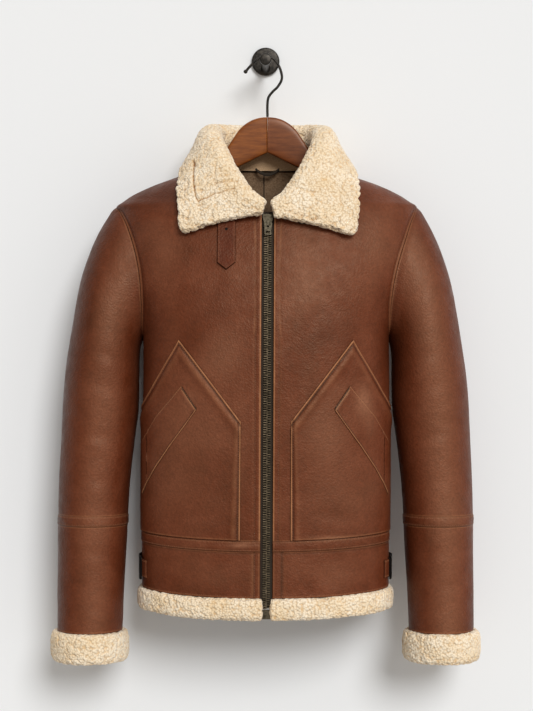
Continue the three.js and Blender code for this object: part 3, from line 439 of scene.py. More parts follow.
def fleece_material():
    material, tree, shader = new_material("fleece")
    where = tree.nodes.new("ShaderNodeTexCoord")
    tufts = tree.nodes.new("ShaderNodeTexVoronoi")
    tufts.inputs["Scale"].default_value = TUFTS_PER_METRE
    tree.links.new(where.outputs["Object"], tufts.inputs["Vector"])
    # Painted shade in the gaps between tufts and towards the curls' roots
    gap_shade = ramp(tree, tufts.outputs["Distance"], ((0.42, "ffffff"), (0.7, "fbf2e6"), (0.94, "ead6bc")))
    tips = ramp(tree, attribute(tree, "tip"), ((0.0, "b98e5e"), (0.18, "f3dfc2"), (0.6, "fff0d8")))
    tips = mixed(tree, 1.0, tips, gap_shade, "MULTIPLY")
    patches = ramp(tree, noise_node(tree, 30, 3), ((0.3, "f2e6d2"), (0.7, "ffffff")))
    strands = ramp(tree, noise_node(tree, 480, 3, 0.75), ((0.38, 0.88), (0.58, 1.0)))
    base = mixed(tree, 1.0, mixed(tree, 1.0, tips, patches, "MULTIPLY"), strands, "MULTIPLY")
    tree.links.new(base, shader.inputs["Base Color"])
    shader.inputs["Roughness"].default_value = 0.95
    shader.inputs["Specular IOR Level"].default_value = 0.15
    shader.inputs["Sheen Weight"].default_value = 0.35
    shader.inputs["Sheen Roughness"].default_value = 0.5
    domes = ramp(tree, tufts.outputs["Distance"], ((0.0, 1.0), (0.45, 0.75), (0.85, 0.0)))
    normal = bump(tree, domes, 0.8, 0.0022)
    normal = bump(tree, noise_node(tree, 800, 3, 0.7), 0.25, 0.001, normal)
    tree.links.new(normal, shader.inputs["Normal"])
    return material


def cloth_material(name, base, lighter, scale=900):
    material, tree, shader = new_material(name)
    weave = ramp(tree, noise_node(tree, scale, 2, 0.6, (1, 1, 2.2)), ((0.35, base), (0.65, lighter)))
    tree.links.new(weave, shader.inputs["Base Color"])
    shader.inputs["Roughness"].default_value = 0.9
    tree.links.new(bump(tree, noise_node(tree, scale, 2), 0.4, 0.0006), shader.inputs["Normal"])
    return material


# Brushed cloth inside the neck, with painted shade that darkens it towards the bottom of the opening
LINING_LIGHT_Z = -0.176
LINING_DARK_Z = -0.255
LINING_SEAM_X = -0.0025
LINING_SEAM_WIDTH = 0.0018


def lining_material(name, base, lighter):
    material, tree, shader = new_material(name)
    nap = ramp(tree, noise_node(tree, 420, 4, 0.7), ((0.35, base), (0.65, lighter)))
    where = tree.nodes.new("ShaderNodeTexCoord")
    split = tree.nodes.new("ShaderNodeSeparateXYZ")
    fade = tree.nodes.new("ShaderNodeMapRange")
    fade.inputs["From Min"].default_value = LINING_DARK_Z
    fade.inputs["From Max"].default_value = LINING_LIGHT_Z
    tree.links.new(where.outputs["Object"], split.inputs["Vector"])
    tree.links.new(split.outputs["Z"], fade.inputs["Value"])
    # Painted shade, darker towards the bottom of the neck opening
    shade = ramp(tree, fade.outputs["Result"], ((0.0, 0.3), (1.0, 1.0)))
    seam = tree.nodes.new("ShaderNodeMath")
    seam.operation = "COMPARE"
    seam.inputs[1].default_value = LINING_SEAM_X
    seam.inputs[2].default_value = LINING_SEAM_WIDTH / 2
    tree.links.new(split.outputs["X"], seam.inputs[0])
    base = mixed(tree, seam.outputs["Value"], mixed(tree, 1.0, nap, shade, "MULTIPLY"), "33251a")
    tree.links.new(base, shader.inputs["Base Color"])
    shader.inputs["Roughness"].default_value = 0.95
    tree.links.new(bump(tree, noise_node(tree, 420, 3), 0.6, 0.001), shader.inputs["Normal"])
    return material


def metal_material(name, base, bright, roughness=0.38):
    material, tree, shader = new_material(name)
    tone = ramp(tree, noise_node(tree, 240, 4), ((0.35, base), (0.7, bright)))
    tree.links.new(tone, shader.inputs["Base Color"])
    shader.inputs["Metallic"].default_value = 0.85
    shader.inputs["Roughness"].default_value = roughness
    return material


def wood_material(name, dark, light, lean):
    material, tree, shader = new_material(name)
    grain = noise_node(tree, 26, 5, 0.6, (1, 6, 9))
    fine = noise_node(tree, 120, 3, 0.6, (1, 8, 14))
    for node in tree.nodes:
        if node.type == "MAPPING":
            node.inputs["Rotation"].default_value = (0, lean, 0)
    tone = ramp(tree, mixed(tree, 0.35, grain, fine), ((0.32, dark), (0.66, light)))
    tree.links.new(tone, shader.inputs["Base Color"])
    shader.inputs["Roughness"].default_value = 0.36
    shader.inputs["Specular IOR Level"].default_value = 0.35
    shader.inputs["Specular Tint"].default_value = (1.0, 0.85, 0.7, 1)
    shader.inputs["Coat Weight"].default_value = 0.06
    shader.inputs["Coat Roughness"].default_value = 0.25
    return material


LEATHER_LOOK = leather_material("leather", "52230d", "66301a", "784029")
STRAP_LOOK = leather_material("strap", "451505", "571d08", "68280e", wear_and_highlight_colour="8a5233")
FLEECE_LOOK = fleece_material()
LINING_LOOK = lining_material("lining", "79593e", "a88a6a")
FACING_LOOK = cloth_material("facing", "ab8863", "d6b48e")
TAPE_LOOK = cloth_material("tape", "1e150c", "352819")
BRASS_LOOK = metal_material("brass", "4a4030", "8a7a62", 0.34)
PEWTER_LOOK = metal_material("pewter", "443d30", "736a58", 0.28)
BLACK_LOOK = metal_material("black_metal", "0b0908", "1c1815", 0.6)
IRON_LOOK = metal_material("iron", "1f1d1b", "45403a", 0.42)
WOOD_LIGHT_LOOK = wood_material("wood_light", "5c280c", "92521f", 0.55)
WOOD_DARK_LOOK = wood_material("wood_dark", "50210a", "7e431d", -0.55)
THREAD_LOOK = cloth_material("thread", "6a3c26", "a06a4c")


# Adds a lip that turns in at the open edges of a grid and its values
def with_rim(outer, normal, values, closed, depth=LEATHER):
    lip = 1

    def pad(array, axis):
        take = lambda k: np.take(array, [k], axis)
        return np.concatenate([take(lip), take(0), array, take(-1), take(-1 - lip)], axis)

    for axis in (0,) if closed else (0, 1):
        low = outer - normal * depth
        grown, inner = pad(outer, axis), pad(low, axis)
        count = grown.shape[axis]
        pick = [slice(None)] * 3
        for k in (0, 1, count - 2, count - 1):
            pick[axis] = k
            grown[tuple(pick)] = inner[tuple(pick)]
        outer, normal = grown, pad(normal, axis)
        values = {key: pad(value, axis) for key, value in values.items()}
    return outer, values


# How far an edge that meets another piece flush is rolled, and how worn every edge is
FLAT_EDGE_ROLL = 0.5
EDGE_WEAR = 0.26


# A leather shell on a grid of points, rolled at its edges
# It has seam and crease relief, wear lines with painted highlights, painted shade lines at edges and grooves,
# and painted highlight and painted shade patches
def leather(name, nodes, grid, outward, relief=None, closed=False, look=LEATHER_LOOK, roll=1.6, depth=LEATHER,
            flat_edges=(), tone=None, edge_shade=0.7):
    normal = grid_normals(grid, outward, closed)
    edges = edge_distances(grid)
    keys = ("top", "bottom") if closed else ("top", "bottom", "first", "last")
    push = 0.5 * noise(grid, 58, 3) + 0.16 * noise(grid, 17, 5)
    inside = np.clip(np.minimum.reduce([edges[key] for key in keys]) / 18, 0, 1)
    push *= inside
    wear_and_highlight = np.zeros(push.shape)
    groove = np.zeros(push.shape)
    # Patchy strength of the wear lines and painted highlights
    patchy_highlight = 0.8 + 0.2 * noise(grid, 9, 11)
    for key in keys:
        push += rolled(edges[key], FLAT_EDGE_ROLL if key in flat_edges else roll)
        groove = np.maximum(groove, edge_shade * np.exp(-edges[key] / 0.6))
        wear_and_highlight = np.maximum(wear_and_highlight, EDGE_WEAR * patchy_highlight * bump_at(edges[key], 1.9, 0.8))
    if relief is not None:
        more, more_wear_and_highlight, more_groove = relief(grid, edges)
        push = push + more
        wear_and_highlight = np.maximum(wear_and_highlight, more_wear_and_highlight * patchy_highlight)
        groove = np.maximum(groove, more_groove)
    outer = grid + normal * push[..., None]
    # Painted highlight patches above nought, painted shade patches below, with a little random variation
    light = np.zeros(push.shape) if tone is None else tone(grid)
    light = light + 0.1 * noise(grid, 34, 13)
    values = {"wear_and_highlight": wear_and_highlight, "groove": groove, "patchy_highlight": np.clip(light, 0, 0.9), "painted_shade": np.clip(-light, 0, 0.8)}
    shell, values = with_rim(outer, normal, values, closed, depth)
    obj = make(name, shell, grid_faces(*shell.shape[:2], closed), look, values)
    if nodes:
        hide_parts(*nodes)
    return obj, outer, normal, edges


# Stitches along a path: short threads lying on the surface
STITCH = dict(pitch=3.4, length=2.5, radius=0.3)


def stitches(name, paths, look=THREAD_LOOK, pitch=None):
    pitch = pitch or STITCH["pitch"]
    points, faces = [], []
    count = 0
    for path, normal in paths:
        run = np.concatenate([[0], np.cumsum(np.linalg.norm(np.diff(path, axis=0), axis=1))])
        for start in np.arange(pitch, run[-1] - pitch, pitch):
            spots = start + STITCH["length"] * np.array([0, 0.2, 0.8, 1])
            line = np.stack([np.interp(spots, run, path[:, k]) for k in range(3)], -1)
            up = unit(np.array([np.interp(start, run, normal[:, k]) for k in range(3)]))
            side = unit(np.cross(line[3] - line[0], up))
            r = STITCH["radius"]
            points += [line[0] - up * r, line[3] - up * r]
            for p in line[1:3]:
                points += [p + up * 1.5 * r, p + side * r, p - up * r, p - side * r]
            for k in range(4):
                a, b = count + 2 + k, count + 2 + (k + 1) % 4
                faces += [(count, b, a), (a, b, b + 4), (a, b + 4, a + 4), (count + 1, a + 4, b + 4)]
            count += 10
    return make(name, np.array(points), faces, look)


def column_path(outer, normal, edges, key, distance, rows=slice(None)):
    j = int(np.argmin(np.abs(edges[key][outer.shape[0] // 2] - distance)))
    return outer[rows, j], normal[rows, j]


def row_path(outer, normal, edges, key, distance):
    i = int(np.argmin(np.abs(edges[key][:, outer.shape[1] // 2] - distance)))
    return outer[i], normal[i]


# Creases seen from the front or back: ends as x and z, half width, depth (below nought for a ridge)
FRONT_CREASES = (
    (160, -462, 118, -436, 9, 0.9),
    (176, -520, 150, -500, 8, 0.7),
    (60, -690, 150, -704, 10, 0.8),
    (30, -600, 34, -700, 8, 0.5),
    (70, -380, 110, -300, 22, 0.8),
    (20, -470, 60, -400, 20, 0.6),
)
BACK_CREASES = (
    (150, -440, 70, -420, 12, 1.2),
    (140, -500, 40, -520, 14, 0.9),
    (60, -690, 140, -700, 10, 0.9),
    (20, -300, 90, -330, 18, 0.8),
    (100, -600, 30, -640, 16, 0.7),
)
SLEEVE_CREASES = (
    (205, -470, 250, -455, 9, 1.3),
    (202, -520, 262, -500, 10, 1.2),
    (300, -540, 255, -560, 9, 1.0),
    (208, -590, 270, -575, 9, 1.3),
    (302, -612, 262, -622, 8, 0.9),
    (212, -655, 268, -640, 9, 1.0),
    (236, -300, 222, -360, 10, 0.8),
)
CUFF_CREASES = (
    (218, -760, 268, -748, 8, 0.9),
    (302, -790, 262, -800, 8, 0.8),
    (222, -840, 262, -832, 7, 0.7),
)


def crease_depth(grid, creases, side):
    total = np.zeros(grid.shape[:-1])
    x, z = grid[..., 0] * side, grid[..., 2]
    for x0, z0, x1, z1, width, depth in creases:
        dx, dz = x1 - x0, z1 - z0
        length = math.hypot(dx, dz)
        t = ((x - x0) * dx + (z - z0) * dz) / length ** 2
        bend = 0.06 * length * np.sin(np.pi * np.clip(t, 0, 1))
        off = ((x - x0) * dz - (z - z0) * dx) / length + bend
        along = np.exp(-((np.abs(t - 0.5) / 0.42) ** 4))
        hollow = np.exp(-((off / width) ** 2))
        shoulder = np.exp(-(((off - 1.9 * width) / width) ** 2))
        total -= depth * along * (hollow - 0.45 * shoulder)
    return total


# Painted highlight (above nought) and painted shade (below) patches, as seen from the front
# Each is its middle in x and z, its half width and height, and its amount
FRONT_PAINTED_LIGHT_TABLE = (
    (-150, -222, 70, 26, -0.6),
    (-160, -300, 40, 60, 0.3),
    (-60, -385, 60, 40, -0.2),
    (-66, -450, 30, 44, 0.46),
    (-50, -330, 26, 50, 0.16),
    (-105, -560, 62, 70, 0.34),
    (-120, -655, 50, 60, 0.26),
    (-36, -620, 14, 80, 0.2),
    (-176, -430, 16, 120, -0.35),
    (55, -335, 34, 80, 0.42),
    (168, -310, 34, 60, 0.36),
    (90, -420, 40, 34, -0.3),
    (82, -570, 34, 60, 0.5),
    (125, -665, 56, 46, 0.3),
    (142, -526, 12, 22, 0.9),
    (152, -556, 10, 24, 0.35),
    (-112, -524, 9, 16, 0.3),
    (178, -420, 16, 120, -0.3),
    (-34, -733, 18, 4, 0.8),
    (98, -723, 34, 3.5, 0.7),
    (-90, -770, 70, 26, 0.14),
    (84, -772, 70, 26, 0.24),
)
# Painted highlight and painted shade patches, as seen from the back
BACK_PAINTED_LIGHT_TABLE = (
    (-80, -300, 60, 70, 0.35),
    (80, -310, 60, 70, 0.4),
    (-70, -560, 70, 90, 0.3),
    (80, -580, 70, 90, 0.34),
    (0, -440, 40, 90, -0.25),
    (-176, -430, 16, 120, -0.3),
    (176, -430, 16, 120, -0.3),
)


def patches_of(table):
    def tone(grid):
        total = np.zeros(grid.shape[:-1])
        for x, z, wide, tall, amount in table:
            total += amount * np.exp(-(((grid[..., 0] - x) / wide) ** 2) - ((grid[..., 2] - z) / tall) ** 2)
        return total

    return tone


FRONT_PAINTED_LIGHT = patches_of(FRONT_PAINTED_LIGHT_TABLE)
BACK_PAINTED_LIGHT = patches_of(BACK_PAINTED_LIGHT_TABLE)

# A sleeve has a painted highlight along its middle and painted shade along its sides
SLEEVE_PAINTED_HIGHLIGHT = {-1: 0.36, 1: 0.5}


def sleeve_painted_light(side):
    def tone(grid):
        x = grid[..., 0]
        low, high = x.min(1, keepdims=True), x.max(1, keepdims=True)
        share = (x - low) / (high - low)
        middle = np.exp(-(((share - 0.56) / 0.24) ** 2))
        sides = np.maximum(np.exp(-((share / 0.2) ** 2)), 0.7 * np.exp(-(((1 - share) / 0.14) ** 2)))
        return SLEEVE_PAINTED_HIGHLIGHT[side] * middle - 0.5 * sides

    return tone


def outward_body(face, grid):
    return np.stack([grid[..., 0] * 0.3, np.full(grid.shape[:2], face * 100.0), 0 * grid[..., 0]], -1)


# Relief of a front or back panel round its armhole, zip edge and waist
ARMHOLE_RIDGE = dict(at=2.6, width=1.9, height=1.2)
ARMHOLE_LINE = 5.6
ZIP_LINE = 8.0


def panel_relief(face, side):
    def relief(grid, edges):
        z = grid[..., 2]
        near_arm = np.clip((z - UNDERARM_Z + 12) / 24, 0, 1) * np.clip((TIP_Z + 6 - z) / 20, 0, 1)
        arm = edges["last"] if side is not None else np.minimum(edges["first"], edges["last"])
        push = near_arm * (ARMHOLE_RIDGE["height"] * bump_at(arm, ARMHOLE_RIDGE["at"], ARMHOLE_RIDGE["width"])
                           - 1.1 * bump_at(arm, ARMHOLE_LINE, 1.3) + 0.6 * bump_at(arm, 13, 5))
        # A painted highlight along the armhole ridge
        wear_and_highlight = 0.28 * near_arm * bump_at(arm, ARMHOLE_RIDGE["at"], 1.5)
        groove = near_arm * np.maximum(0.95 * bump_at(arm, 0.3, 1.5), 0.3 * bump_at(arm, ARMHOLE_LINE, 1.0))
        if face == FRONT:
            push -= 0.45 * bump_at(edges["first"], ZIP_LINE, 1.1) * (z < ZIP_NECK_Z)
            push += 0.35 * bump_at(edges["first"], 4.4, 2.4) * (z < ZIP_NECK_Z)
            push += 0.5 * noise(grid, 8, 28) * bump_at(edges["first"], 5, 4)
            wear_and_highlight = np.maximum(wear_and_highlight, 0.22 * bump_at(edges["first"], 9.6, 0.9) * (z < ZIP_NECK_Z))
            wear_and_highlight = np.maximum(wear_and_highlight, 0.85 * bump_at(edges["first"], 1.3, 0.8) * (z < ZIP_NECK_Z))
            groove = np.maximum(groove, 0.3 * bump_at(edges["first"], ZIP_LINE, 0.7) * (z < ZIP_NECK_Z))
        push -= 0.25 * bump_at(edges["bottom"], 0, 4)
        creases = FRONT_CREASES if face == FRONT else BACK_CREASES
        if side is None:
            left, right = crease_depth(grid, creases, -1), crease_depth(grid, creases, 1)
            push += np.where(grid[..., 0] < 0, left, right)
        else:
            push += crease_depth(grid, creases, side)
        return push, wear_and_highlight, groove

    return relief


FRONT_ARC = 215.0
BACK_ARC = 205.0
thread_paths = []


def front_grid(side, zs, step=2.2):
    us = spaced(0, FRONT_ARC, step) / FRONT_ARC
    return body_point(FRONT, side, us[None, :], zs[:, None])


def back_grid(zs, step=2.8):
    us = spaced(0, BACK_ARC, step, "last") / BACK_ARC
    left = body_point(BACK, -1, us[None, ::-1], zs[:, None])
    right = body_point(BACK, 1, us[None, 1:], zs[:, None])
    return np.concatenate([left, right], 1)


STRIP_DEPTH = 1.8
STRIP_LIFT = 0.5
UNDER_STRIP = 1.4


# Puckers along a narrow strip, between its two rows of stitches
def strip_relief(grid, edges):
    puckers = 0.4 * noise(grid, 7, 23) + 0.25 * noise(grid, 3.5, 24)
    inside = np.clip(np.minimum(edges["top"], edges["bottom"]) / 3, 0, 1)
    groove = np.maximum(0.3 * bump_at(edges["top"], 0.5, 1.0), 0.6 * bump_at(edges["bottom"], 0.5, 1.1))
    groove = np.maximum(groove, 0.25 * bump_at(edges["bottom"], 3.2, 0.8))
    # The puckers' ridges get a painted highlight
    return inside * (0.5 * bump_at(edges["top"], 8, 5) + puckers), 0.1 * np.clip(puckers, 0, 1), groove


# Relief of a hem band: a stitched line under the strip, and the seam of the opening's facing
FACING_LINE = {-1: 9.0, 1: 13.0}


def band_relief(side):
    def relief(grid, edges):
        line = bump_at(edges["top"], 3.4, 1.3)
        seam = bump_at(edges["first"], FACING_LINE[side], 1.6)
        push = 0.3 * noise(grid, 11, 27) - 0.4 * line - 0.6 * seam
        wear_and_highlight = 0.3 * bump_at(edges["first"], FACING_LINE[side] + 2.6, 1.4)
        return push, wear_and_highlight, np.maximum(0.35 * line, 0.55 * seam)

    return relief


# Body panels
panel_zs = spaced(NECK_Z, WAIST_Z - UNDER_STRIP, 3.0, "last")
belt_zs = spaced(WAIST_Z, BAND_Z, 1.2, "none")
band_zs = spaced(BAND_Z + UNDER_STRIP, HEM_Z, 3.0)
for side, label in SIDES:
    grid = front_grid(side, panel_zs)
    obj, outer, normal, edges = leather(
        f"front_{label}_leather", [f"front_{label}"], grid, outward_body(FRONT, grid),
        panel_relief(FRONT, side), roll=0.8, flat_edges=("bottom",), tone=FRONT_PAINTED_LIGHT, edge_shade=0.3)
    below_neck = panel_zs < ZIP_NECK_Z - 2
    path, n = column_path(outer, normal, edges, "first", ZIP_LINE, below_neck)
    thread_paths.append((path, n))
    grid = body_point(FRONT, side, (spaced(0, FRONT_ARC, 4) / FRONT_ARC)[None, :], belt_zs[:, None])
    n = grid_normals(grid, outward_body(FRONT, grid))
    obj, outer, normal, edges = leather(
        f"waist_strip_{label}_leather", [f"waist_strip_{label}"], grid + STRIP_LIFT * n, n,
        strip_relief, roll=0.35, depth=STRIP_DEPTH, edge_shade=0.4, tone=FRONT_PAINTED_LIGHT)
    thread_paths += [row_path(outer, normal, edges, key, 2.6) for key in ("top", "bottom")]
    grid = front_grid(side, band_zs, 3.2)
    obj, outer, normal, edges = leather(
        f"hem_band_{label}_leather", [f"hem_band_{label}"], grid, outward_body(FRONT, grid),
        band_relief(side), flat_edges=("top",), tone=FRONT_PAINTED_LIGHT, edge_shade=0.4)
    thread_paths.append(row_path(outer, normal, edges, "bottom", 3.2))
    thread_paths.append(column_path(outer, normal, edges, "first", ZIP_LINE))

grid = back_grid(panel_zs)
obj, outer, normal, edges = leather(
    "back_leather", ["back"], grid, outward_body(BACK, grid), panel_relief(BACK, None), tone=BACK_PAINTED_LIGHT)
grid = back_grid(belt_zs, 4)
n = grid_normals(grid, outward_body(BACK, grid))
obj, outer, normal, edges = leather(
    "waist_strip_back_leather", ["waist_strip_back"], grid + STRIP_LIFT * n, n, strip_relief, roll=0.35,
    depth=STRIP_DEPTH, edge_shade=0.4)
thread_paths += [row_path(outer, normal, edges, key, 2.6) for key in ("top", "bottom")]
grid = back_grid(band_zs, 4)
obj, outer, normal, edges = leather(
    "hem_band_back_leather", ["hem_band_back"], grid, outward_body(BACK, grid))
thread_paths.append(row_path(outer, normal, edges, "bottom", 3.2))


# A piece sewn on a front, from its outline
def sewn_on(side, outline, lift, across_step, down_step, straight=False):
    middle_z = (outline[0, 1] + outline[0, 2]) / 2
    limit = abs(body_point(FRONT, side, 1, middle_z)[0]) - 0.05
    last = min(outline[-1, 0], limit)
    inner = [x for x in outline[1:-1, 0]]
    stops = [outline[0, 0], *inner, last]
    parts = [spaced(a, b, across_step, "both" if len(stops) == 2 else "first" if k == 0 else
                    "last" if k == len(stops) - 2 else "none")
             for k, (a, b) in enumerate(zip(stops, stops[1:]))]
    xs = np.concatenate([parts[0]] + [part[1:] for part in parts[1:]])
    top = np.interp(xs, outline[:, 0], outline[:, 1])
    bottom = np.interp(xs, outline[:, 0], outline[:, 2])
    tallest = (top - bottom).max()
    ts = spaced(0, tallest, down_step) / tallest
    z = top + (bottom - top) * ts[:, None]
    u = share_at(FRONT, side, xs, z if straight else np.full(xs.shape, middle_z)) * np.ones_like(z)
    grid = body_point(FRONT, side, u, z)
    n = grid_normals(grid, outward_body(FRONT, grid))
    return grid + lift * n, n


# Relief of the side panel: a double line and a soft pad along its two slanted edges, with a painted highlight
# along the pads
PANEL_CORNER_Z = -548


def side_panel_relief(side):
    def relief(grid, edges):
        x, z = grid[..., 0] * side, grid[..., 2]
        slope = np.interp(x, (36, 126, 128, 185), (0.62, 0.62, 0.507, 0.507))
        top = edges["top"] * slope
        upright = edges["first"] + np.where(z < PANEL_CORNER_Z, 0, 99)
        push = 1.8 * bump_at(top, 11, 6.0) - 1.0 * bump_at(top, 4.2, 1.5)
        push += 1.2 * bump_at(upright, 9.5, 5.0) - 0.8 * bump_at(upright, 4.2, 1.4)
        faint = np.where(x > SIDE_PANEL[1, 0], 0.55, 1)
        # A painted highlight along the pads' ridges
        painted_highlight = 0.17 * np.maximum(bump_at(top, 10, 3), bump_at(upright, 10.5, 3))
        painted_highlight = painted_highlight * (0.7 + 0.5 * noise(grid, 14, 29))
        line = np.maximum(faint * bump_at(top, 1.4, 0.9), bump_at(upright, 1.4, 0.9))
        wear_and_highlight = np.maximum(line, faint * painted_highlight)
        groove = np.maximum(0.8 * faint * bump_at(top, 4.2, 1.2), 0.75 * bump_at(upright, 4.2, 1.1))
        return push + crease_depth(grid, FRONT_CREASES, side), wear_and_highlight, groove

    return relief


# Relief of a pocket welt, whose short slanted edge is the pocket's opening: a painted shade line with a
# painted highlight beside it
def welt_relief(grid, edges):
    mouth = np.abs(grid[..., 0]) < WELT[1, 0]
    puckers = 0.22 * noise(grid, 5.5, 21) * bump_at(edges["bottom"], 2, 3)
    wear_and_highlight = np.maximum(0.95 * bump_at(edges["bottom"], 1.2, 0.9), 0.5 * bump_at(edges["top"], 1.6, 0.9))
    wear_and_highlight = np.where(mouth, np.maximum(wear_and_highlight, 0.9 * bump_at(edges["top"], 4.4, 1.2)), wear_and_highlight)
    groove = np.maximum(0.75 * bump_at(edges["bottom"], 3.6, 0.9), 0.8 * bump_at(edges["first"], 0, 1.4))
    groove = np.where(mouth, np.maximum(groove, bump_at(edges["top"], 1.5, 2.6)), groove)
    return 0.9 * bump_at(edges["top"], 9, 6) + puckers, wear_and_highlight, groove


for side, label in SIDES:
    grid, n = sewn_on(side, SIDE_PANEL, LAP_LIFT + LAP, 2.2, 2.6)
    obj, outer, normal, edges = leather(
        f"side_panel_{label}_leather", [f"side_panel_{label}"], grid, n, side_panel_relief(side),
        depth=2.0, roll=1.0, tone=FRONT_PAINTED_LIGHT)
    thread_paths.append(row_path(outer, normal, edges, "top", 5.8))
    thread_paths.append(column_path(outer, normal, edges, "first", 3.6))
    grid, n = sewn_on(side, WELT, LAP_LIFT + 2 * LAP + SEAM, 1.6, 1.8)
    obj, outer, normal, edges = leather(
        f"pocket_welt_{label}_leather", [f"pocket_welt_{label}"], grid, n, welt_relief, depth=2.0, roll=1.0,
        tone=FRONT_PAINTED_LIGHT)
    thread_paths += [row_path(outer, normal, edges, key, 3.0) for key in ("top", "bottom")]


# Sleeves
def armhole_ring(side, angles):
    z = TIP_Z + (UNDERARM_Z - TIP_Z) * (1 - np.cos(angles)) / 2
    edge = body("left" if side < 0 else "right", z)
    reach = np.where(np.sin(angles) > 0, -armhole_half(FRONT, z), armhole_half(BACK, z))
    return np.stack([side * edge, body("mid", z) + reach, z], -1)


def sleeve_ring(side, out, inn, mid, half, angles):
    out, inn = np.array(out, float), np.array(inn, float)
    middle = (out + inn) / 2
    p = middle + (out - middle) * np.cos(angles)[:, None]
    return np.stack([side * p[:, 0], mid - half * np.sin(angles), p[:, 1]], -1)


def sleeve_rings(side, angles):
    arm = armhole_ring(side, angles)
    rings, at = [arm], [-(TIP_Z + UNDERARM_Z) / 2]
    for ox, oz, ix, iz, mid, half, free in SLEEVE_CAP:
        ring = sleeve_ring(side, (ox, oz), (ix, iz), mid, half, angles)
        rings.append(arm + (ring - arm) * free)
        at.append(-(oz + iz) / 2)
    for z, outer, inner, mid, half in SLEEVE:
        rings.append(sleeve_ring(side, (outer, z), (inner, z), mid, half, angles))
        at.append(-z)
    return np.array(at), np.array(rings)


def sleeve_relief(creases, side, from_seam):
    def relief(grid, edges):
        face = np.where(grid[..., 1] < -100, 1.0, 0.7)
        push = crease_depth(grid, creases, side) * face
        seam = edges["top"]
        if from_seam:
            push += 0.7 * bump_at(seam, 11, 6)
        groove = 0.3 * bump_at(seam, 0, 0.8) if from_seam else 0 * seam
        return push, 0 * push, groove

    return relief


SLEEVE_COLUMNS = 96
angles = np.linspace(0, RING, SLEEVE_COLUMNS, endpoint=False)
for side, label in SIDES:
    at, rings = sleeve_rings(side, angles)
    spans = (
        ("sleeve_upper", spaced(at[0], -FOREARM_Z + UNDER_STRIP, 3.4), SLEEVE_CREASES, True, 0.0),
        ("sleeve_strip", spaced(-FOREARM_Z, -FOREARM_LOW_Z, 1.4, "none"), (), False, STRIP_LIFT),
        ("sleeve_lower", spaced(-FOREARM_LOW_Z - UNDER_STRIP, -CUFF_Z, 3.4), CUFF_CREASES, False, 0.0),
    )
    for piece, where, creases, from_seam, lift in spans:
        grid = hermite(where, at, rings)
        centre = grid.mean(1, keepdims=True)
        n = grid_normals(grid, grid - centre, True)
        obj, outer, normal, edges = leather(
            f"{piece}_{label}_leather", [f"{piece}_{label}"], grid + lift * n, n,
            strip_relief if lift else sleeve_relief(creases, side, from_seam), closed=True,
            roll=0.35, depth=STRIP_DEPTH if lift else LEATHER, tone=sleeve_painted_light(side), edge_shade=0.4)
        if lift:
            for key in ("top", "bottom"):
                path, turn = row_path(outer, normal, edges, key, 2.6)
                thread_paths.append((np.append(path, path[:1], 0), np.append(turn, turn[:1], 0)))

stitches("stitching", thread_paths)


# Pile: a grid whose curls stand out along its normals, and how near its tips each point is
CURL = dict(size=6.0, high=2.5, small=9.0, low=1.0, sway=1.4)


def pile(name, nodes, grid, outward, closed=True, amount=None, extra=None, caps=False):
    normal = grid_normals(grid, outward, closed)
    amount = np.ones(grid.shape[:2]) if amount is None else amount
    warped = grid + CURL["sway"] * np.stack([noise(grid, 6, 31), noise(grid, 6, 32), noise(grid, 6, 33)], -1)
    big = np.sqrt(np.clip(1 - (cells(warped, CURL["size"], 41) / 0.85) ** 2, 0, 1))
    small = np.sqrt(np.clip(1 - (cells(warped, CURL["small"], 47) / 0.85) ** 2, 0, 1))
    height = CURL["high"] * (big - 0.7) + CURL["low"] * (small - 0.7) + 0.7 * noise(grid, 26, 51)
    # Curl tops get a high tip value; the valleys between curls are painted darker as shade
    tip = np.clip(0.12 + 0.68 * big + 0.2 * small, 0, 1)
    if extra is not None:
        sink = extra(grid, normal)
        height = height - sink
        # Pressed lines are painted darker as shade
        tip = tip * (1 - 0.9 * np.clip(sink / 1.4, 0, 1))
    outer = grid + normal * (height * amount)[..., None]
    tip = np.clip(tip * amount + 0.5 * (1 - amount), 0, 1)
    faces = grid_faces(*grid.shape[:2], closed).tolist()
    if caps:
        count = grid.shape[1]
        faces.append(list(range(count))[::-1])
        faces.append([(grid.shape[0] - 1) * count + k for k in range(count)])
    obj = make(name, outer, faces, FLEECE_LOOK, {"tip": tip})
    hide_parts(*nodes)
    return obj


def rounded_section(middle, across, up, half, tall, count, squareness):
    t = np.linspace(0, RING, count, endpoint=False)
    c, s = np.cos(t), np.sin(t)
    power = 2 / squareness
    a = np.sign(c) * np.abs(c) ** power
    b = np.sign(s) * np.abs(s) ** power
    return middle[:, None] + half * a[None, :, None] * across[:, None] + tall * b[None, :, None] * up


# Ends of a lofted pile, drawn in over a few sections
def closed_off(sections, reach):
    def end(section, direction):
        middle = section.mean(0)
        turns = np.linspace(0, math.pi / 2, 6)[1:]
        return [middle + (section - middle) * max(math.cos(t), 0.02) + direction * reach * math.sin(t)
                for t in turns]

    first = unit(sections[0].mean(0) - sections[1].mean(0))
    last = unit(sections[-1].mean(0) - sections[-2].mean(0))
    return np.array(end(sections[0], first)[::-1] + list(sections) + end(sections[-1], last))


UP = np.array([0.0, 0.0, 1.0])


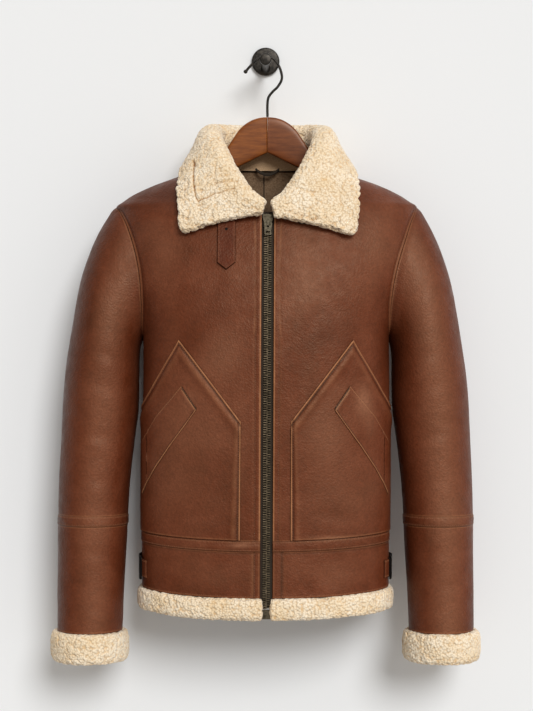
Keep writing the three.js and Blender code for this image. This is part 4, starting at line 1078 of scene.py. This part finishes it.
def hem_path():
    us = spaced(0, FRONT_ARC, 1.35, "none") / FRONT_ARC
    parts = [(FRONT, -1, us), (BACK, -1, us[::-1][1:]), (BACK, 1, us[1:]), (FRONT, 1, us[::-1][1:])]
    points = np.concatenate([body_point(face, side, u, HEM_Z - SEAM) for face, side, u in parts])
    points = points.reshape(-1, 3)
    along = unit(np.gradient(points, axis=0) * np.array([1, 1, 0]))
    out = np.stack([-along[:, 1], along[:, 0], 0 * along[:, 0]], -1)
    centre = np.array([0, -110, 0])
    flip = ((points - centre) * out).sum(-1, keepdims=True) < 0
    return points, np.where(flip, -out, out)


points, out = hem_path()
middle = points + out * (7 - 9)
middle[:, 2] -= (HEM_Z - SEAM - HEM_PILE_Z) / 2
sections = rounded_section(middle, out, UP, 9, (HEM_Z - SEAM - HEM_PILE_Z) / 2, 60, 3)
sections = closed_off(sections, 4.0)
outward = sections - sections.mean(1, keepdims=True)
pile("hem_pile_curls", ["hem_pile"], sections, outward, caps=True)

cuff = SLEEVE[-1]
for side, label in SIDES:
    turn = np.linspace(0, RING, 250, endpoint=False)
    radius = np.array([(cuff[1] - cuff[2]) / 2, cuff[4]])
    points = np.stack([side * (cuff[1] + cuff[2]) / 2 + radius[0] * np.cos(turn),
                       cuff[3] + radius[1] * np.sin(turn),
                       np.full(turn.shape, CUFF_Z - SEAM)], -1)
    out = unit(np.stack([np.cos(turn) / radius[0], np.sin(turn) / radius[1], 0 * turn], -1))
    middle = points + out * (10 - 9.5)
    middle[:, 2] -= (CUFF_Z - SEAM - CUFF_PILE_Z) / 2
    sections = rounded_section(middle, out, UP, 9.5, (CUFF_Z - SEAM - CUFF_PILE_Z) / 2, 70, 3)
    sections = np.concatenate([sections, sections[:1]])
    name = f"cuff_pile_{label}_curls"
    pile(name, [f"cuff_pile_{label}"], sections, sections - sections.mean(1, keepdims=True))


# Collar: the curve through a section's points, with tighter turns where they are close together
def through(points, count):
    points = np.asarray(points, float)
    whole = np.concatenate([[2 * points[0] - points[1]], points, [2 * points[-1] - points[-2]]])
    result = []
    for t in np.linspace(0, len(points) - 1, count):
        k = min(int(t), len(points) - 2)
        p0, p1, p2, p3 = whole[k:k + 4]
        d0, d1, d2 = (max(np.linalg.norm(b - a), 1e-6) ** 0.5 for a, b in ((p0, p1), (p1, p2), (p2, p3)))
        m1 = ((p1 - p0) / d0 - (p2 - p0) / (d0 + d1) + (p2 - p1) / d1) * d1
        m2 = ((p2 - p1) / d1 - (p3 - p1) / (d1 + d2) + (p3 - p2) / d2) * d1
        w = t - k
        result.append(p1 * (2 * w**3 - 3 * w**2 + 1) + m1 * (w**3 - 2 * w**2 + w)
                      + p2 * (3 * w**2 - 2 * w**3) + m2 * (w**3 - w**2))
    return np.array(result)


def collar_section(side, row, count):
    base, fold, edge, roll = row[0:3].copy(), row[3:6].copy(), row[6:9].copy(), row[9]
    is_front = edge[1] < -140
    for p in (base, fold, edge):
        p[0] = side * p[0] + COLLAR_X * np.clip((-p[1] - 40) / 100, 0, 1)
    if side > 0:
        edge[2] -= COLLAR_RIGHT_DROP * np.clip((row[4] + 100) / -80, 0, 1)
    if is_front:
        u = share_at(FRONT, side, row[6], edge[2])
        patch = body_point(FRONT, side, np.clip(u + np.array([[-0.01, 0, 0.01]]), 0, 1),
                           edge[2] + np.array([[1], [0], [-1]]))
        n = grid_normals(patch, np.array([0, -1.0, 0]))[1, 1]
        edge[1] = min(edge[1], (patch[1, 1] + n * (COLLAR_LIFT + FLEECE / 2))[1])
    up = unit(fold - (base + edge) / 2)
    span = edge - base
    over = unit(span - up * (span @ up))
    before = fold - up * roll * 0.75 - over * roll
    after = fold - up * roll * 0.75 + over * roll
    return through([base, before, fold, after, after + (edge - after) * 0.55, edge], count)


# Lines pressed into the collar's pile, seen from the front, as x and z
COLLAR_LINES = (
    ((-107, -169), (-106, -204), (-102, -228), (-98, -234), (-75, -224), (-46, -216)),
    ((-75, -190), (-53, -190), (-53, -206), (-75, -206), (-75, -190)),
    ((52, -219), (83, -222)),
    ((108, -222), (110, -243)),
)
LINE_DEPTH = (2.0, 1.3, 1.2, 0.9)


def pressed_lines(grid, normal):
    sink = np.zeros(grid.shape[:2])
    facing = np.clip(-normal[..., 1] * 2, 0, 1)
    x, z = grid[..., 0], grid[..., 2]
    for line, depth in zip(COLLAR_LINES, LINE_DEPTH):
        nearest = np.full(x.shape, 99.0)
        for (x0, z0), (x1, z1) in zip(line, line[1:]):
            dx, dz = x1 - x0, z1 - z0
            t = np.clip(((x - x0) * dx + (z - z0) * dz) / (dx * dx + dz * dz), 0, 1)
            nearest = np.minimum(nearest, np.hypot(x - x0 - t * dx, z - z0 - t * dz))
        sink = np.maximum(sink, depth * np.exp(-((nearest / 1.5) ** 2)))
    return sink * facing


LEAF_EDGE = 2.0
COLLAR_PATH = 130
COLLAR_STATIONS = 430
rows = [collar_section(-1, row, COLLAR_PATH) for row in COLLAR[:0:-1]]
rows += [collar_section(1, row, COLLAR_PATH) for row in COLLAR]
stations = np.array(rows)
run = np.concatenate([[0], np.cumsum(np.linalg.norm(np.diff(stations[:, -1], axis=0), axis=-1) * 0.6
                                     + np.linalg.norm(np.diff(stations[:, 40], axis=0), axis=-1) * 0.4)])


def smooth_rows(at, xs, ys):
    slope = np.gradient(ys, xs, axis=0)
    i = np.clip(np.searchsorted(xs, at, side="right") - 1, 0, len(xs) - 2)
    h = (xs[i + 1] - xs[i])[:, None, None]
    t = ((at - xs[i]) / (xs[i + 1] - xs[i]))[:, None, None]
    return (ys[i] * (2 * t**3 - 3 * t**2 + 1) + slope[i] * h * (t**3 - 2 * t**2 + t)
            + ys[i + 1] * (3 * t**2 - 2 * t**3) + slope[i + 1] * h * (t**3 - t**2))


collar_middle = smooth_rows(np.linspace(0, run[-1], COLLAR_STATIONS), run, stations)
along = np.gradient(collar_middle, axis=1)
around = np.gradient(collar_middle, axis=0)
collar_normal = unit(np.cross(around, along))
half = FLEECE / 2
pile_side = collar_middle + collar_normal * half
skin_side = (collar_middle - collar_normal * half)[:, ::6]
tip_out = unit(along[:, -1])
bends = np.linspace(0, math.pi, 14)[1:-1]
tip = np.stack([collar_middle[:, -1] + collar_normal[:, -1] * half * math.cos(t)
                + tip_out * half * 0.7 * math.sin(t)
                for t in bends], 1)
sections = np.concatenate([pile_side, tip, skin_side[:, ::-1]], 1)
on_pile = np.concatenate([np.ones(COLLAR_PATH - 30), np.linspace(1, LEAF_EDGE, 30),
                          np.full(len(bends) - 3, LEAF_EDGE),
                          np.linspace(0.8, 0.2, 3),
                          np.zeros(skin_side.shape[1])])
direction = np.concatenate([collar_normal,
                            np.stack([collar_normal[:, -1] * math.cos(t) + tip_out * math.sin(t)
                                      for t in bends], 1),
                            -collar_normal[:, ::6][:, ::-1]], 1)
amount = np.tile(on_pile, (COLLAR_STATIONS, 1))
sections = closed_off(sections, 3.0)
direction = np.concatenate([direction[:1]] * 5 + [direction] + [direction[-1:]] * 5)
amount = np.concatenate([amount[:1]] * 5 + [amount] + [amount[-1:]] * 5)
pile("collar_curls", ["collar"], sections, direction, amount=amount,
                              extra=pressed_lines,
                              caps=True)
skin = (collar_middle - collar_normal * (half + 0.5))[:, 4:118:3][::3]
obj, outer, normal, edges = leather(
    "collar_skin", [], skin, -collar_normal[:, 4:118:3][::3], depth=1.0, roll=0.8)


# Straps
grid, n = sewn_on(-1, THROAT_STRAP, 4.0, 1.4, 2.2, True)
obj, outer, normal, edges = leather(
    "throat_strap_leather", ["throat_strap"], grid, n, look=STRAP_LOOK, depth=2.2, roll=0.9)


# A black disc painted as the shade of a hole in a strap, at the point of its surface that is nearest to a
# place seen from the front
STRAP_HOLE = dict(x=-57, z=-274.6, radius=2.2, sides=16)


def hole_shade_disc(outer, normal):
    place = np.array([STRAP_HOLE["x"], STRAP_HOLE["z"]])
    gap = np.linalg.norm(outer[..., [0, 2]] - place, axis=-1)
    spot = np.unravel_index(np.argmin(gap), gap.shape)
    n = normal[spot]
    across = unit(np.cross(n, UP))
    turns = np.linspace(0, RING, STRAP_HOLE["sides"], endpoint=False)[:, None]
    round_hole = np.cos(turns) * across + np.sin(turns) * np.cross(across, n)
    ring = outer[spot] + n * 0.12 + STRAP_HOLE["radius"] * round_hole
    return make("painted_strap_hole_shade", ring, [list(range(STRAP_HOLE["sides"]))], BLACK_LOOK, smooth=False)


hole_shade_disc(outer, normal)
seams = [column_path(outer, normal, edges, key, 2.6) for key in ("first", "last")]
stitches("strap_stitching", seams, pitch=3.0)


def around_side(side, spec, step):
    z = (spec["top"] + spec["bottom"]) / 2
    u0 = share_at(FRONT, side, spec["front"], z)
    u1 = share_at(BACK, side, spec["back"], z)
    ahead = (1 - u0) * FRONT_ARC
    behind = (1 - u1) * BACK_ARC
    columns = [(FRONT, u) for u in u0 + (1 - u0) * spaced(0, ahead, step, "first") / ahead]
    columns += [(BACK, u) for u in (1 - (1 - u1) * spaced(0, behind, step, "last") / behind)[1:]]
    zs = spaced(spec["top"], spec["bottom"], 1.6)
    grid = np.stack([body_point(face, side, u, zs) for face, u in columns], 1)
    n = grid_normals(grid, grid - np.array([0, -110, 0]) * np.array([0, 1, 0]) - grid * UP)
    return grid + n * (spec["lift"] + spec["thick"]), n


for side, label in SIDES:
    grid, n = around_side(side, ADJUSTER, 2.4)
    obj, outer, normal, edges = leather(f"adjuster_strap_{label}_leather",
                                        [f"adjuster_strap_{label}"], grid, n,
                                        depth=2.2, roll=0.9, edge_shade=0.35)
    stitches(f"adjuster_stitching_{label}",
             [row_path(outer, normal, edges, key, 2.6) for key in ("top", "bottom")], pitch=3.0)


# Zip teeth: two rows of cast teeth that take turns
TOOTH = dict(pitch=3.3, wide=5.2, tall=1.35, deep=2.6, lap=0.9)
ZIP_TOP_Z = -262.0
ZIP_LOW_Z = -818.0


def zip_front(z):
    return body("mid", z) - body("front", z)


def hem_drop(z):
    return z - HEM_DIP * np.clip((z - DIP_FROM_Z) / (DIP_WHOLE_Z - DIP_FROM_Z), 0, 1)


def zip_teeth():
    points, faces = [], []
    corners = np.array(list(itertools.product((0, 1), (-1, 1), (-1, 1))), float)
    quads = ((0, 1, 3, 2), (4, 6, 7, 5), (0, 4, 5, 1), (2, 3, 7, 6), (0, 2, 6, 4), (1, 5, 7, 3))
    spots = np.arange(ZIP_TOP_Z, ZIP_LOW_Z, -TOOTH["pitch"] / 2)
    for k, z in enumerate(spots):
        side = 1 if k % 2 else -1
        box = corners.copy()
        taper = np.where(box[:, 0] == 0, 0.75, 1.0)
        x = zip_x(z) + side * (-TOOTH["lap"] + (TOOTH["wide"] + TOOTH["lap"]) * box[:, 0])
        y = zip_front(z) + 1.7 + TOOTH["deep"] / 2 * box[:, 1] * taper
        height = hem_drop(z) + TOOTH["tall"] / 2 * box[:, 2] * taper
        faces += [tuple(len(points) + i for i in quad) for quad in quads]
        points += list(np.stack([x, y, height], -1))
    return make("zip_teeth", np.array(points), faces, BRASS_LOOK, smooth=False)


teeth = zip_teeth()
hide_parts("zip_chain")


# Hanger, wire and wall hook
WIRE_RADIUS = 2.0


def loft(name, sections, look, nodes, smooth=True):
    count = sections.shape[1]
    faces = grid_faces(sections.shape[0], count, True).tolist()
    faces.append(list(range(count)))
    faces.append([(sections.shape[0] - 1) * count + k for k in range(count)][::-1])
    obj = make(name, sections, faces, look, smooth=smooth)
    if nodes:
        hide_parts(*nodes)
    return obj


for side, label in SIDES:
    x = np.linspace(0, 206, 90)
    row = hermite(x, ARM[:, 0], ARM)
    tall = (row[:, 1] - row[:, 2]) / 2
    height = (row[:, 1] + row[:, 2]) / 2
    middle = np.stack([HANGER_X + side * (x + 0.1), np.full(x.shape, HANGER_Y), height], -1)
    t = np.linspace(0, RING, 36, endpoint=False)
    a = np.sign(np.cos(t)) * np.abs(np.cos(t)) ** 0.4
    b = np.sign(np.sin(t)) * np.abs(np.sin(t)) ** 0.4
    sections = middle[:, None] + np.stack([np.zeros((90, 36)), row[:, 3:4] * a, tall[:, None] * b], -1)
    look = WOOD_LIGHT_LOOK if side < 0 else WOOD_DARK_LOOK
    loft(f"hanger_{label}_wood", sections, look, [f"hanger_{label}"])

line = through(np.stack([WIRE[:, 0], np.full(len(WIRE), HANGER_Y), WIRE[:, 1]], -1), 160)
along_wire = unit(np.gradient(line, axis=0))
across = np.stack([along_wire[:, 2], 0 * along_wire[:, 0], -along_wire[:, 0]], -1)
t = np.linspace(0, RING, 14, endpoint=False)
sideways = np.cos(t)[None, :, None] * across[:, None]
forward = np.sin(t)[None, :, None] * np.array([0, 1, 0])
sections = line[:, None] + WIRE_RADIUS * (sideways + forward)
wire = loft("hanger_wire_round", sections, IRON_LOOK, ["hanger_wire"])


def turned(name, profile, z, look, count=72):
    t = np.linspace(0, RING, count, endpoint=False)
    rings = np.array([[(r * math.cos(a), -y, z + r * math.sin(a)) for a in t] for y, r in profile])
    return loft(name, rings, look, [])


def ball(name, centre, radius, look):
    turns = np.linspace(0, math.pi, 16)
    profile = [(-radius * math.cos(t) - centre[1], max(radius * math.sin(t), 0.02)) for t in turns]
    obj = turned(name, profile, 0, look, 24)
    for vertex in obj.data.vertices:
        vertex.co.x += centre[0] * MM
        vertex.co.z += centre[2] * MM
    return obj


ball("wire_ball", (WIRE[0, 0], HANGER_Y, WIRE[0, 1]), 3.1, IRON_LOOK)
plate_profile = [(0, 0.05), (0, 21.5), (5.6, 21.8), (7.0, 21.2), (7.8, 19.9), (8, 18.8), (8, 0.05)]
plate = turned("hook_plate", plate_profile, 0, IRON_LOOK)
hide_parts("wall_hook")
peg_profile = [(7, 0.05), (7, 8), (8.6, 7.2), (11, 5.8), (14, 5.1),
               (84, 5.0), (84, 7.6), (84.7, 8.6), (86, 8.9),
               (92.6, 8.9), (93.6, 8.4), (94, 7.2), (94, 0.05)]
turned("hook_peg", peg_profile, -11.5, IRON_LOOK, 48)


# Solids shown as they are, with finishes
def finish(node, look, bevel=None):
    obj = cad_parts[node]
    obj.data.materials.clear()
    obj.data.materials.append(look)
    if bevel:
        modifier = obj.modifiers.new("soft edges", "BEVEL")
        modifier.width = bevel * MM
        modifier.segments = 2
        modifier.limit_method = "ANGLE"
        modifier.harden_normals = False


for label in ("left", "right"):
    finish(f"zip_tape_{label}", TAPE_LOOK)
    finish(f"adjuster_buckle_{label}", BLACK_LOOK, 0.5)
for node in ("zip_pull_tab", "zip_bottom_box", "throat_buckle"):
    finish(node, PEWTER_LOOK, 0.3)
finish("zip_slider", PEWTER_LOOK, 0.3)
finish("neck_facing", FACING_LOOK)
finish("lining_back", LINING_LOOK)
finish("buckle_tab", STRAP_LOOK)
finish("hanging_loop", TAPE_LOOK)


# Wall behind the hook, seen only from its front side
def wall_material():
    material, tree, shader = new_material("wall")
    shader.inputs["Base Color"].default_value = colour("ecedee")
    shader.inputs["Roughness"].default_value = 0.9
    shader.inputs["Specular IOR Level"].default_value = 0.1
    tree.links.new(bump(tree, noise_node(tree, 40, 4), 0.05, 0.002), shader.inputs["Normal"])
    back = tree.nodes.new("ShaderNodeNewGeometry")
    clear = tree.nodes.new("ShaderNodeBsdfTransparent")
    choose = tree.nodes.new("ShaderNodeMixShader")
    tree.links.new(back.outputs["Backfacing"], choose.inputs["Fac"])
    tree.links.new(shader.outputs["BSDF"], choose.inputs[1])
    tree.links.new(clear.outputs["BSDF"], choose.inputs[2])
    tree.links.new(choose.outputs["Shader"], tree.nodes["Material Output"].inputs["Surface"])
    return material


WALL_HALF = 3.0
mesh = bpy.data.meshes.new("wall")
mesh.from_pydata([(-WALL_HALF, 0.0002, -WALL_HALF), (WALL_HALF, 0.0002, -WALL_HALF),
                  (WALL_HALF, 0.0002, WALL_HALF),
                  (-WALL_HALF, 0.0002, WALL_HALF)], [], [(0, 1, 2, 3)])
mesh.materials.append(wall_material())
wall = bpy.data.objects.new("wall", mesh)
bpy.context.scene.collection.objects.link(wall)


# Light: a broad soft source from the upper right in front, and a surround that is brighter on that side
sun_data = bpy.data.lights.new("daylight", "SUN")
sun_data.energy = 2.0
sun_data.angle = math.radians(24)
sun_data.color = (0.985, 0.995, 1.0)
sun = bpy.data.objects.new("daylight", sun_data)
sun.rotation_euler = Vector((-0.32, 1.0, -0.5)).to_track_quat("-Z", "Y").to_euler()
bpy.context.scene.collection.objects.link(sun)


def surround(towards, low, high, tint):
    world = bpy.data.worlds.new("surround")
    world.use_nodes = True
    tree = world.node_tree
    where = tree.nodes.new("ShaderNodeTexCoord")
    product = tree.nodes.new("ShaderNodeVectorMath")
    product.operation = "DOT_PRODUCT"
    product.inputs[1].default_value = Vector(towards).normalized()
    scale = tree.nodes.new("ShaderNodeMapRange")
    scale.inputs["From Min"].default_value = -1
    scale.inputs["To Min"].default_value = low
    scale.inputs["To Max"].default_value = high
    tree.links.new(where.outputs["Generated"], product.inputs[0])
    tree.links.new(product.outputs["Value"], scale.inputs["Value"])
    tree.links.new(scale.outputs["Result"], tree.nodes["Background"].inputs["Strength"])
    tree.nodes["Background"].inputs["Color"].default_value = (*tint, 1)
    return world


bpy.context.scene.world = surround((0.7, -0.5, 0.5), 0.16, 0.66, (1.0, 0.96, 0.91))
bpy.context.scene.view_settings.view_transform = "Standard"

# Camera, level, straight in front
camera_data = bpy.data.cameras.new("camera")
camera_data.lens = 84.39
camera_data.sensor_width = 36
camera_data.dof.use_dof = False
camera = bpy.data.objects.new("camera", camera_data)
camera.location = (0.0014, -2.61, -0.4593)
camera.rotation_euler = (math.pi / 2, 0, 0)
bpy.context.scene.collection.objects.link(camera)
bpy.context.scene.camera = camera
